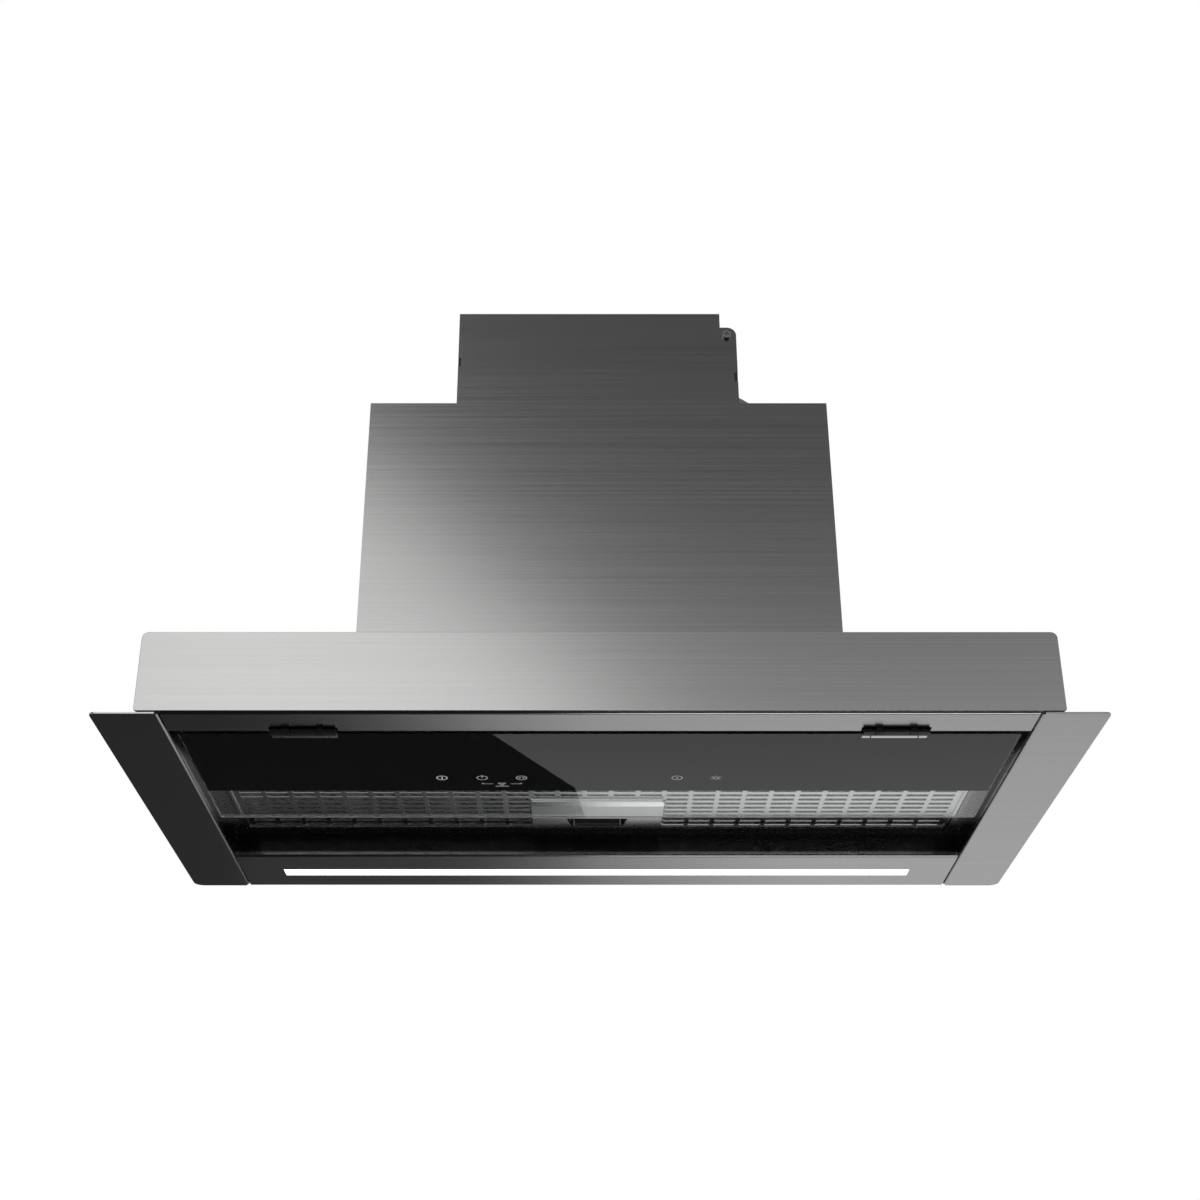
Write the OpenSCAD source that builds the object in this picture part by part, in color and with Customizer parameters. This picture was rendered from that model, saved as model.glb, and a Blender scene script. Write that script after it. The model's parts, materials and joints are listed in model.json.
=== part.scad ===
// Integrated range hood for a 60 cm wall unit: a shallow tray with a swing-down
// control glass and a grease filter, a motor box on the tray and a duct spigot on top.
// The inner modules measure x from the middle, y back from the fascia's face and
// z up from the underside sheets. placed() moves that to the part's own frame.

/* [Overall] */
// Width across the two side plates
hood_w = 598; // [560:1:640]
// Depth from the fascia's face to the rear edge of the underside
hood_d = 327.5; // [324:0.5:345]
// Thickness of the folded steel sheet
sheet_t = 1; // [0.8:0.1:1.2]
// Outer radius of the folds along the underside
fold_r = 1.8; // [1.5:0.1:2.2]

/* [Fascia] */
// Width of the fascia plate
fascia_w = 545.2; // [544.4:0.2:552]
// Height of the fascia plate
fascia_h = 51; // [48:0.5:54]
// Thickness of the fascia plate
fascia_t = 1.2; // [1:0.1:1.6]
// Height of the fascia's lower edge above the underside
fascia_rise = 1.3; // [0.5:0.1:2]
// Radius of the fascia's upper corners
fascia_r = 4; // [2:0.5:8]
// Thickness of the foam tape behind the fascia
tape_t = 1; // [0.8:0.1:1.5]
// Height of each strip of tape
tape_h = 10; // [8:1:12]

/* [Tray] */
// Width across the tray's side walls
tray_w = 543.4; // [536:0.2:544]
// Height of the tray's deck above the underside
tray_h = 51.6; // [50:0.2:60]
// Width of deck left in front of the air opening
deck_margin = 14; // [12:0.5:24]
// Height of the fixing holes in the tray's sides
fixing_h = 34; // [28:1:40]
// Distance between the two fixing holes of one side
fixing_pitch = 200; // [120:10:240]
// Radius of the fixing holes
fixing_r = 2.6; // [2:0.1:3.5]

/* [Underside] */
// Width of the recess between the side plates
recess_w = 517.2; // [512:0.2:518]
// Height of the recess above the underside
recess_h = 17; // [16:0.5:20]
// Depth of the front strip
strip_d = 28; // [26:0.1:30]
// Depth of the rear light bar
bar_d = 67; // [60:0.5:70]
// Seam between a strip and a side plate
seam = 1; // [0.6:0.1:1.5]
// Height of the outer flanges of the strip and the bar
lip_h = 12; // [8:1:14]
// Radius of the side plates' front corners
plate_front_r = 3.5; // [2:0.5:8]
// Radius of the side plates' rear corners
plate_rear_r = 7; // [2:0.5:12]

/* [Light] */
// Length of the light window
light_w = 455; // [400:5:460]
// Depth of the light window
light_d = 13.7; // [10:0.1:18]
// Distance from the bar's front edge to the light window
light_inset = 29.4; // [26:0.2:32]
// Thickness of the window's flange
lens_t = 1.2; // [1:0.1:2]
// Height of the light channel
channel_h = 10; // [8:0.5:14]
// Number of diodes on the board
diode_count = 45; // [30:1:60]
// Length of the driver box
driver_w = 90; // [70:5:110]
// Depth of the driver box
driver_d = 36; // [28:1:40]
// Distance from the tray's right side to the driver
driver_inset = 60; // [30:5:90]
// Length of the driver's screw tabs
driver_tab = 10; // [8:1:12]
// Depth of the driver's screw tabs
driver_tab_d = 16; // [12:1:20]
// Height of the driver box
driver_h = 24; // [18:1:28]

/* [Glass panel] */
// Width of the glass
glass_w = 506.8; // [490:0.2:510]
// Depth of the glass
glass_d = 147.9; // [140:0.1:152]
// Thickness of the glass
glass_t = 4; // [3:0.5:5]
// Gap between the front strip and the glass
glass_gap = 2.5; // [2.3:0.1:4]
// Radius of the glass's corners
glass_r = 3; // [1:0.5:6]
// Depth of the black enamel zone
enamel_d = 99.8; // [90:0.1:110]
// Thickness of the enamel
enamel_t = 0.2; // [0.1:0.05:0.3]
// Length of the touch module
module_w = 216; // [200:2:240]
// Depth of the touch module
module_d = 46; // [30:1:50]
// Height of the touch module
module_h = 6; // [4:0.5:7]
// Distance of the module's middle from the middle of the glass
module_shift = 12; // [0:1:20]

/* [Panel hinges] */
// Distance from the middle to each hinge
hinge_x = 176.7; // [150:0.1:200]
// Width of each hinge
hinge_w = 39.2; // [30:0.2:50]
// Radius of the hinge pin
pin_r = 1; // [0.8:0.1:1.1]
// Radius of the two fixed knuckles
knuckle_r = 2.5; // [2.3:0.1:2.7]
// Width of each fixed knuckle
knuckle_w = 4.7; // [4:0.1:6]
// Distance from the hinge's middle to each fixed knuckle
knuckle_x = 10.3; // [8:0.1:12]
// Radius of the moving barrel
barrel_r = 1.7; // [1.6:0.1:1.9]
// Depth of the pin below the underside sheets
pin_drop = 1.2; // [1:0.1:1.4]
// Distance from the front strip's rear edge to the pin
pin_inset = 4.5; // [3.6:0.1:4.7]
// Thickness of the clip channel
clip_t = 1.4; // [1:0.1:1.6]
// Depth of the clip's lower lip under the glass
clip_lip = 3.8; // [3:0.1:6]
// Depth of the clip's upper lip over the glass
clip_top = 5.3; // [4:0.1:8]
// Radial clearance of the barrel on its pin
pin_gap = 0.05; // [0.02:0.01:0.08]
// Side gap between knuckles
knuckle_gap = 0.3; // [0.2:0.1:0.5]

/* [Grease filter] */
// Width of the filter
filter_w = 496; // [480:1:500]
// Depth of the filter
filter_d = 190; // [170:1:196]
// Thickness of the filter
filter_t = 9; // [8:0.5:12]
// Thickness of the filter's channel frame
channel_t = 1.2; // [1:0.1:1.5]
// Width of the rim that shows round the filter
rim_w = 2; // [1.6:0.1:4]
// Gap round the filter in its opening
filter_gap = 0.8; // [0.5:0.1:1.2]
// Width of the ceiling strip behind the filter
rear_ledge = 11.5; // [10:0.1:14]
// Length of a slot
slot_w = 14.5; // [12:0.1:16]
// Width of a slot
slot_d = 4.6; // [3:0.1:6]
// Distance between columns of slots
slot_pitch_x = 18; // [17:0.1:20]
// Distance between rows of slots
slot_pitch_y = 8; // [7:0.1:10]
// Thickness of the slotted sheet
grille_t = 1; // [0.8:0.1:1.2]
// Number of mesh layers
mesh_layers = 4; // [3:1:5]
// Thickness of one mesh layer
mesh_t = 0.3; // [0.2:0.05:0.4]
// Width of each front tab
tab_w = 30; // [20:1:40]
// Reach of the front tabs over the ceiling
tab_reach = 11; // [8:0.5:14]

/* [Filter handle and latch] */
// Width of the handle
handle_w = 92; // [80:1:100]
// Depth of the handle
handle_d = 54; // [44:0.5:60]
// Drop of the handle below the filter's face
handle_drop = 2.5; // [2:0.1:4]
// Radius of the handle's front corners
handle_r = 2.5; // [1:0.5:5]
// Slope of the handle's sides, from the filter's face to its lower face
handle_side = 1; // [0.5:0.1:2]
// Half width of the finger pocket at its front
pocket_front = 21.2; // [19:0.1:24]
// Half width of the finger pocket at its rear
pocket_rear = 18.3; // [16.5:0.1:19]
// Depth of the finger pocket from front to rear
pocket_d = 15.4; // [14:0.1:17]
// Width of handle left behind the pocket
pocket_lip = 4.2; // [3:0.1:5]
// Travel of the latch
latch_travel = 4; // [3:0.5:5]
// Half width of the latch bolt
bolt_half = 10; // [6:0.5:12]
// Thickness of the latch
latch_t = 2; // [1.6:0.1:2.4]
// Reach of the bolt over the ceiling behind the filter
bolt_reach = 3.2; // [2.5:0.1:3.8]
// Clearance round the latch
latch_gap = 0.3; // [0.2:0.05:0.4]
// Outer radius of the latch spring
spring_r = 2; // [1.6:0.1:2.2]

/* [Motor box] */
// Width of the motor box
box_w = 290.8; // [288:0.2:300]
// Depth of the motor box
box_d = 280; // [270:1:290]
// Height of the motor box's top above the underside
box_top = 215.4; // [206:0.2:220]
// Width of the box's inner flanges
flange_w = 12; // [10:0.5:13]

/* [Duct shroud] */
// Left edge of the shroud, from the middle
shroud_left = 90.6; // [88:0.1:96]
// Right edge of the shroud's upper part, from the middle
shroud_right = 79.4; // [76:0.1:82]
// Width of the screwed tab at the right
shroud_tab = 10.4; // [9:0.1:12]
// Height of the shroud's front above the underside
shroud_top = 284.7; // [280:0.1:292]
// Height of the tab's top above the underside
tab_top = 273.9; // [272:0.1:276]
// Radius of the tab's corner
tab_r = 6; // [4:0.5:8]
// Height of the duct deck above the underside
deck_top = 262; // [261:0.5:264]
// Depth of the shroud
shroud_d = 196; // [190:1:210]
// Height of the edge clips
edge_clip_h = 7; // [5:0.5:9]
// Height of the left edge clip above the underside
edge_clip_left = 247; // [240:0.1:250]
// Height of the right edge clip above the underside
edge_clip_right = 235.4; // [230:0.1:240]

/* [Blower] */
// Radius of the scroll housing
scroll_r = 100; // [98:0.5:101]
// Half depth of the scroll housing
scroll_half = 58; // [54:0.5:60]
// Distance of the blower's axis right of the middle
axis_x = 41.4; // [38:0.2:42]
// Distance of the blower's middle behind the fascia
blower_y = 100; // [98:0.5:104]
// Thickness of the scroll's wall
scroll_t = 1.2; // [1:0.1:1.6]
// Gap between the scroll's top and the duct deck
scroll_gap = 0.6; // [0.4:0.1:0.8]
// Right wall of the outlet, left of the blower's axis
outlet_wall = 6; // [5:0.5:10]
// Radius of each inlet
inlet_r = 60; // [56:0.5:62]
// Radius of the impeller
wheel_r = 74; // [72:0.5:80]
// Length of the impeller
wheel_len = 104; // [96:1:104]
// Number of blades
blade_count = 36; // [24:1:44]
// Thickness of a blade
blade_t = 0.8; // [0.6:0.1:1.2]
// Radius of the impeller's hub
hub_r = 9; // [8:0.5:12]

/* [Motor] */
// Radius of the motor can
motor_r = 42; // [40:0.5:44]
// Length of the motor can
motor_len = 76; // [70:1:80]
// Thickness of the can
can_t = 1.6; // [1.2:0.1:2]
// Radius of the shaft
shaft_r = 4; // [3:0.5:5]
// Running clearance of the shaft in its bushes
shaft_gap = 0.05; // [0.02:0.01:0.08]
// Radius of the rotor
rotor_r = 24; // [20:0.5:28]
// Air gap between rotor and stator
air_gap = 0.6; // [0.4:0.1:1]
// Distance from the can's rear to the stator
stator_inset = 12; // [11:0.5:16]
// Radial wall of the shaft bushes
bush_t = 3; // [2:0.5:4]
// Length of each shaft bush
bush_len = 6; // [5:0.5:8]
// Radius from the axis to the spider's screws
spider_r = 80; // [78:0.5:82]
// Width of each spider arm
arm_w = 10; // [9:0.5:14]

/* [Electrics] */
// Radius of the capacitor
capacitor_r = 16; // [14:0.5:18]
// Length of the capacitor
capacitor_len = 60; // [50:1:70]
// Depth of the control box, outwards from the wall
control_w = 58; // [50:1:62]
// Length of the control box
control_d = 130; // [110:1:136]
// Height of the control box
control_h = 96; // [80:1:100]
// Wall of the control box
control_t = 1.6; // [1.4:0.1:2]
// Radius of the cable passage in the gland
gland_r = 4.25; // [3.5:0.25:5]
// Distance from the box's left side to the gland
gland_inset = 27.7; // [22:0.1:34]
// Radius of the motor lead
lead_r = 3; // [2:0.25:3.5]

/* [Spigot and flaps] */
// Outer radius of the duct spigot
spigot_r = 75; // [73:0.5:76]
// Wall of the spigot
spigot_t = 2.5; // [2:0.1:3]
// Height of the spigot above the duct deck
spigot_h = 36; // [30:1:37]
// Radius of the spigot's flange
spigot_flange_r = 83; // [82:0.5:84]
// Thickness of the spigot's flange
spigot_flange_t = 2.4; // [2:0.1:3]
// Radius of the flap rod
rod_r = 1.5; // [1.2:0.1:1.8]
// Thickness of a flap
flap_t = 1; // [0.8:0.1:1.4]
// Gap between a flap and the spigot's wall
flap_gap = 1; // [0.8:0.1:1.5]
// Radius of a flap's knuckles
flap_knuckle_r = 2.8; // [2.6:0.1:3]

/* [Hidden] */
$fn = 64;

// Margin by which a cut runs past the face that it opens
over = 1;
// Steel colours as the photograph shows them
steel = [0.62, 0.62, 0.61];
dark_steel = [0.34, 0.34, 0.34];
black = [0.06, 0.06, 0.06];
aluminium = [0.72, 0.73, 0.73];

// Underside levels and lines
clip_drop = pin_drop + knuckle_r;
strip_y = fascia_t;
strip_back = strip_y + strip_d;
wall_front = fascia_t + tape_t;
bar_front = hood_d - bar_d;
wall_rear = hood_d - tape_t;
plate_in = recess_w / 2;
strip_half = plate_in - seam;
ceiling_top = recess_h + sheet_t;

// Glass panel and its hinges
glass_y = strip_back + glass_gap;
enamel_top = glass_t + enamel_t;
pin_y = strip_back - pin_inset;
web_y = glass_y - clip_t;
notch_front = pin_y - knuckle_r - 0.2;
notch_half = hinge_w / 2 + 1;
notch_h = 8;
base_top = sheet_t + 1.6;
leaf_t = 0.9;

// Grease filter
filter_back = bar_front - rear_ledge - filter_gap;
filter_front = filter_back - filter_d;
grille_z = recess_h + channel_t;
mesh_z = grille_z + grille_t;
filter_top = recess_h + filter_t;
grid_z = filter_top - channel_t - grille_t;
mesh_step = (grid_z - mesh_z) / mesh_layers;
slot_back = filter_back - rim_w - 1.5;
slot_rows = floor((filter_d - 2 * rim_w - 5) / slot_pitch_y);
slot_side = floor((filter_w / 2 - rim_w - 4 - slot_w / 2) / slot_pitch_x);

// Handle and latch
handle_front = filter_back - rim_w - handle_d - 5;
handle_back = handle_front + handle_d;
handle_bottom = recess_h - handle_drop;
handle_cut = handle_w / 2 + 0.3;
handle_ceiling = grid_z - 0.2;
pocket_back = handle_back - pocket_lip;
pocket_y = pocket_back - pocket_d;
latch_z = ceiling_top + latch_gap;
latch_top = latch_z + latch_t;
latch_half = pocket_rear - 2.5;
latch_back = pocket_back - 1;
latch_front = latch_back - 11;
bolt_end = filter_back + filter_gap + bolt_reach;
spring_len = 16;
spring_z = latch_z + latch_t / 2;

// Light driver
driver_x = tray_w / 2 - driver_inset - driver_w;
driver_y = bar_front + 15;

// Motor box and shroud
box_back = wall_front + box_d;
box_half = box_w / 2;
deck_half = box_half - sheet_t - flange_w;
deck_hole_back = box_back - sheet_t - flange_w;
shroud_out = shroud_right + shroud_tab;
shroud_back = wall_front + shroud_d;
top_z = box_top - sheet_t;
deck_z = deck_top - sheet_t;

// Blower
axis_z = deck_z - scroll_gap - scroll_r;
scroll_left = axis_x - scroll_r;
blower_front = blower_y - scroll_half;
blower_back = blower_y + scroll_half;
ring_t = 1.2;
ring_w = 9;
guard_t = 2;
wheel_in = wheel_r - 13;
motor_back = blower_y - 10;
motor_front = motor_back - motor_len;
cap_len = 16;
shaft_end = blower_y + 12;
stator_front = motor_front + stator_inset + 10;
stator_back = motor_back - stator_inset;
arm_front = motor_front + 16;
arm_t = 4;

// Duct spigot
spigot_x = (shroud_right - shroud_left) / 2;
spigot_in = spigot_r - spigot_t;
pivot_z = deck_top + 6.4;
flap_r = spigot_in - flap_gap;
flap_edge = flap_knuckle_r + 0.8;
ledge_top = pivot_z - flap_t / 2 - 0.3;

// Screws
screw_r = 1.9;
head_r = 2.8;
spider_angles = [30, 150, 270];
flange_angles = [45, 135, 225, 315];
head_h = 2.2;
thread_r = 1.95;
clear_r = 2.2;
tab_screw_x = shroud_right + shroud_tab * 0.4;
tab_screw_z = tab_top - 6.6;
spigot_screw_r = (spigot_r + spigot_flange_r) / 2;
box_screw_x = box_half - sheet_t - flange_w / 2;
deck_screws = [60, 220];
top_screws = [wall_front + 12, box_back - 12];

// Electrics
control_x = -(box_half - sheet_t);
control_y = box_back - sheet_t - control_d - 20;
control_z = 92;
lid_x = control_x + control_w;
post_h = 5;
post_inset = 12;
board_x = control_x + control_t + post_h;
board_t = 1.6;
board_margin = 6;
transformer_h = 28;
relay_h = 16;
terminal_h = 14;
board_cap_r = 6;
board_cap_h = 22;
rib_inset = 15;
capacitor_x = control_x + capacitor_r + 1.7;
capacitor_y = 80;
capacitor_z = 72;
gland_x = gland_inset - box_half;
gland_y = (shroud_back + box_back) / 2;
gland_thread_r = gland_r + 3.75;
lead_x = control_x + 44.7;
lead_y = motor_front + 6;
lead_bend = 12;

// Moves a piece from the fascia and underside lines to the part's own frame
module placed() translate([0, -hood_d / 2, clip_drop]) children();

// A block between two corners
module block(x0, x1, y0, y1, z0, z1)
    translate([x0, y0, z0]) cube([x1 - x0, y1 - y0, z1 - z0]);

// A shape and its mirror image on the other side of the hood
module both_sides() {
    children();
    mirror([1, 0, 0]) children();
}

// What is left outside a rounded corner
module corner_waste(r) difference() {
    translate([-over, -over]) square(r + over);
    translate([r, r]) circle(r);
}

// A rectangle with its own radius at each corner, from the lower left one round
module rounded(w, h, radii) difference() {
    square([w, h]);
    corner_waste(radii[0]);
    translate([w, 0]) mirror([1, 0]) corner_waste(radii[1]);
    translate([w, h]) rotate(180) corner_waste(radii[2]);
    translate([0, h]) mirror([0, 1]) corner_waste(radii[3]);
}

// A quarter turn of folded sheet whose outer corner is at the origin
module quarter_fold() translate([fold_r, fold_r]) intersection() {
    difference() {
        circle(fold_r);
        circle(fold_r - sheet_t);
    }
    translate([-fold_r, -fold_r]) square(fold_r);
}

// A profile drawn as depth and height, run along x
module along_x(x0, x1) translate([x0, 0, 0]) rotate([90, 0, 90])
    linear_extrude(x1 - x0) children();

// A profile drawn in the front view, run back from y0 to y1
module along_y(y0, y1) translate([0, y1, 0]) rotate([90, 0, 0])
    linear_extrude(y1 - y0) children();

// A round bar along y about the blower's axis
module about_axis(y0, y1, r) translate([axis_x, y1, axis_z]) rotate([90, 0, 0])
    cylinder(r = r, h = y1 - y0);

// A tube along y about the blower's axis
module tube_about_axis(y0, y1, r_out, r_in) difference() {
    about_axis(y0, y1, r_out);
    about_axis(y0 - over, y1 + over, r_in);
}

// A screw hole through a sheet that faces forwards
module hole_y(x, z, y, r) translate([x, y + 3, z]) rotate([90, 0, 0])
    cylinder(r = r, h = 6, $fn = 32);

// A screw hole through a level sheet
module hole_z(x, y, z, r) translate([x, y, z - 3]) cylinder(r = r, h = 6, $fn = 32);

// Steel channel with a flange up along both edges
module strip_profile(y0, y1, front_h, rear_h) {
    translate([y0, 0]) quarter_fold();
    translate([y1, 0]) mirror([1, 0]) quarter_fold();
    translate([y0 + fold_r, 0]) square([y1 - y0 - 2 * fold_r, sheet_t]);
    translate([y0, fold_r]) square([sheet_t, front_h - fold_r]);
    translate([y1 - sheet_t, fold_r]) square([sheet_t, rear_h - fold_r]);
}

// Fascia: a plain front plate with rounded corners
module front_fascia() color(steel) placed() along_y(0, fascia_t)
    translate([-fascia_w / 2, fascia_rise])
    rounded(fascia_w, fascia_h, [1.5, 1.5, fascia_r, fascia_r]);

// Foam tape in two rows holds the fascia to the tray
module fascia_tape() color(black) placed() for (z = [lip_h + 2, tray_h - tape_h - 3])
    block(-fascia_w / 2 + 20, fascia_w / 2 - 20, fascia_t, wall_front, z, z + tape_h);

// Tray: four walls and a deck with the air opening under the motor box
module tray_body() color(dark_steel) placed() {
    difference() {
        block(-tray_w / 2, tray_w / 2, wall_front, wall_rear, sheet_t, tray_h);
        block(-tray_w / 2 + sheet_t, tray_w / 2 - sheet_t, wall_front + sheet_t,
            wall_rear - sheet_t, 0, tray_h - sheet_t);
        for (y = [wall_front - over, wall_rear - sheet_t - over])
            block(-plate_in, plate_in, y, y + sheet_t + 2 * over, 0, fold_r);
        block(-deck_half, deck_half, wall_front + deck_margin,
            deck_hole_back, tray_h - 2 * sheet_t, tray_h + over);
        for (s = [-1, 1], y = [-1, 1])
            translate([s * (tray_w / 2 - 3), hood_d / 2 + y * fixing_pitch / 2, fixing_h])
            rotate([0, 90, 0]) cylinder(r = fixing_r, h = 6, center = true);
        for (s = [-1, 1], y = deck_screws)
            hole_z(s * box_screw_x, y, tray_h - sheet_t / 2, thread_r);
    }
    both_sides() block(plate_in + fold_r + 0.2, tray_w / 2 - sheet_t,
        wall_front + sheet_t, wall_rear - sheet_t, sheet_t, 2 * sheet_t);
}

// Front strip of the underside, cut back where the panel's hinges come through
module front_strip() color(steel) placed() difference() {
    along_x(-strip_half, strip_half) strip_profile(strip_y, strip_back, lip_h, recess_h);
    both_sides() block(hinge_x - notch_half, hinge_x + notch_half, notch_front,
        strip_back + over, -over, notch_h);
}

// Rear bar of the underside with the light window
module rear_light_bar() color(steel) placed() difference() {
    along_x(-strip_half, strip_half) strip_profile(bar_front, hood_d, recess_h, lip_h);
    block(-light_w / 2, light_w / 2, bar_front + light_inset,
        bar_front + light_inset + light_d, -over, sheet_t + over);
}

// Side plate with its inner edge folded up as the recess wall
module side_plate() color(steel) placed() {
    translate([plate_in + fold_r, strip_y, 0]) linear_extrude(sheet_t)
        rounded(hood_w / 2 - plate_in - fold_r, hood_d - strip_y,
            [0.1, plate_front_r, plate_rear_r, 0.1]);
    translate([0, wall_rear - sheet_t, 0]) rotate([90, 0, 0])
        linear_extrude(wall_rear - wall_front - 2 * sheet_t) translate([plate_in, 0]) {
            quarter_fold();
            translate([0, fold_r]) square([sheet_t, recess_h - fold_r]);
        }
}
module side_plate_right() side_plate();
module side_plate_left() mirror([1, 0, 0]) side_plate();

// Ceiling of the recess, with the opening that takes the filter
module inner_ceiling() color(dark_steel) placed() difference() {
    block(-tray_w / 2 + sheet_t, tray_w / 2 - sheet_t, wall_front + sheet_t,
        wall_rear - sheet_t, recess_h, ceiling_top);
    block(-filter_w / 2 - filter_gap, filter_w / 2 + filter_gap,
        filter_front - filter_gap, filter_back + filter_gap,
        recess_h - over, ceiling_top + over);
}

// Light window: a frosted insert with a flange behind the bar
module led_diffuser() color([0.98, 0.97, 0.94]) placed() {
    block(-light_w / 2 + 0.15, light_w / 2 - 0.15, bar_front + light_inset + 0.15,
        bar_front + light_inset + light_d - 0.15, 0.1, sheet_t);
    block(-light_w / 2 - 1.5, light_w / 2 + 1.5, bar_front + light_inset - 3,
        bar_front + light_inset + light_d + 3, sheet_t, sheet_t + lens_t);
}

// Channel that covers the light window and carries its board
module led_channel() color(aluminium) placed() difference() {
    block(-light_w / 2 - 1.5, light_w / 2 + 1.5, bar_front + light_inset - 4,
        bar_front + light_inset + light_d + 4, sheet_t, sheet_t + channel_h);
    block(-light_w / 2 - 3, light_w / 2 + 3, bar_front + light_inset - 3,
        bar_front + light_inset + light_d + 3, 0, sheet_t + channel_h - 1);
}

// Board with a row of diodes that shine down through the window
module led_board() color([0.9, 0.9, 0.86]) placed() {
    board_z = channel_h - 1.4;
    block(-light_w / 2 + 1, light_w / 2 - 1, bar_front + light_inset,
        bar_front + light_inset + light_d, board_z, sheet_t + channel_h - 1);
    for (i = [0:diode_count - 1])
        block(-1.5 + (i - (diode_count - 1) / 2) * (light_w - 12) / diode_count,
            1.5 + (i - (diode_count - 1) / 2) * (light_w - 12) / diode_count,
            bar_front + light_inset + light_d / 2 - 1.4,
            bar_front + light_inset + light_d / 2 + 1.4, board_z - 0.7, board_z);
}

// Driver of the light on top of the ceiling
module led_driver() color([0.85, 0.85, 0.83]) placed() {
    translate([driver_x, driver_y, ceiling_top])
        linear_extrude(driver_h) rounded(driver_w, driver_d, [3, 3, 3, 3]);
    block(driver_x - driver_tab, driver_x + driver_w + driver_tab,
        driver_y + (driver_d - driver_tab_d) / 2, driver_y + (driver_d + driver_tab_d) / 2,
        ceiling_top, ceiling_top + 2);
}

// Front of the motor box and of the shroud, one sheet
module chimney_front() color(steel) placed() along_y(wall_front, wall_front + sheet_t)
difference() {
    union() {
        translate([-box_half, tray_h]) square([box_w, box_top - tray_h]);
        translate([-shroud_left, tray_h])
            square([shroud_left + shroud_right, shroud_top - tray_h]);
        translate([shroud_right - tab_r, tray_h]) rounded(shroud_tab + tab_r,
            tab_top - tray_h, [0.1, 0.1, tab_r, 0.1]);
    }
    translate([-shroud_left - over, edge_clip_left - edge_clip_h / 2])
        square([over + 1.9, edge_clip_h]);
    translate([shroud_out - 2.2, edge_clip_right - edge_clip_h / 2])
        square([over + 2.2, edge_clip_h]);
    translate([tab_screw_x, tab_screw_z]) circle(clear_r, $fn = 32);
}

// Moulded clips in the shroud's edge notches
module edge_clips() color(black) placed() {
    block(-shroud_left + 0.1, -shroud_left + 1.8, wall_front + 0.2, wall_front + sheet_t,
        edge_clip_left - edge_clip_h / 2 + 0.1, edge_clip_left + edge_clip_h / 2 - 0.1);
    block(shroud_out - 2.1, shroud_out - 0.4, wall_front + 0.2, wall_front + sheet_t,
        edge_clip_right - edge_clip_h / 2 + 0.1, edge_clip_right + edge_clip_h / 2 - 0.1);
}

// Sides and rear of the motor box, folded from one sheet with inner flanges
module motor_box_body() color(steel) placed() {
    y0 = wall_front + sheet_t;
    difference() {
        block(-box_half, box_half, y0, box_back, tray_h, top_z);
        block(-box_half + sheet_t, box_half - sheet_t, y0 + sheet_t, box_back - sheet_t,
            tray_h + sheet_t, top_z - sheet_t);
        block(-deck_half, deck_half, y0 - over, deck_hole_back, tray_h - over, top_z + over);
        for (s = [-1, 1], y = deck_screws)
            hole_z(s * box_screw_x, y, tray_h + sheet_t / 2, clear_r);
        for (s = [-1, 1], y = top_screws)
            hole_z(s * box_screw_x, y, top_z - sheet_t / 2, thread_r);
    }
}

// Top of the motor box, open where the scroll passes through
module motor_box_top() color(steel) placed() difference() {
    block(-box_half, box_half, wall_front + sheet_t, box_back, top_z, box_top);
    block(scroll_left - 2.4, scroll_left + 2 * scroll_r - 14, blower_front - 2,
        blower_back + 2, top_z - over, box_top + over);
    about_axis(blower_back, blower_back + ring_t + guard_t + 1.8, inlet_r + 6);
    for (s = [-1, 1], y = top_screws) hole_z(s * box_screw_x, y, box_top - 0.5, clear_r);
    translate([gland_x, gland_y, top_z - over])
        cylinder(r = gland_thread_r + 0.1, h = sheet_t + 2 * over);
}

// Shroud behind the front sheet: side and rear walls, the duct deck and a screw lug
module shroud_body() color(steel) placed() {
    y0 = wall_front + sheet_t;
    difference() {
        block(-shroud_left, shroud_out, y0, shroud_back, box_top, deck_top);
        block(-shroud_left + sheet_t, shroud_out - sheet_t, y0 - over,
            shroud_back - sheet_t, box_top - over, deck_z);
        about_axis(blower_front - 1.3, blower_back + 1.5, scroll_r + scroll_gap / 2);
        translate([spigot_x, blower_y, deck_z - over])
            cylinder(r = spigot_in - 0.5, h = sheet_t + 2 * over, $fn = 96);
        for (a = flange_angles)
            hole_z(spigot_x + spigot_screw_r * cos(a), blower_y + spigot_screw_r * sin(a),
                deck_top - sheet_t / 2, thread_r);
    }
    difference() {
        block(shroud_right, shroud_out - sheet_t, y0, y0 + sheet_t, deck_top,
            tab_top - 1.5);
        hole_y(tab_screw_x, tab_screw_z, y0, thread_r);
    }
}

// Outline of the scroll: the round body and the outlet that rises to the deck
module scroll_outline(inset, top) {
    translate([axis_x, axis_z]) circle(scroll_r - inset, $fn = 128);
    translate([scroll_left + inset, axis_z])
        square([scroll_r - inset - (inset > 0 ? outlet_wall : 0), top - axis_z]);
}

// One half of the scroll, with an inlet hole in its flat cheek
module scroll_shell(y0, y1, front_wall, rear_wall) difference() {
    along_y(y0, y1) scroll_outline(0, deck_z);
    along_y(y0 + front_wall, y1 - rear_wall) scroll_outline(scroll_t, deck_z + over);
    about_axis(y0 - over, y1 + over, inlet_r + ring_t + 0.2);
}
module scroll_front() color(dark_steel) placed() difference() {
    scroll_shell(blower_front, blower_y, scroll_t, -over);
    for (a = spider_angles)
        hole_y(axis_x + spider_r * cos(a), axis_z + spider_r * sin(a), blower_front, thread_r);
}
module scroll_rear() color(dark_steel) placed()
    scroll_shell(blower_y, blower_back, -over, scroll_t);

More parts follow.
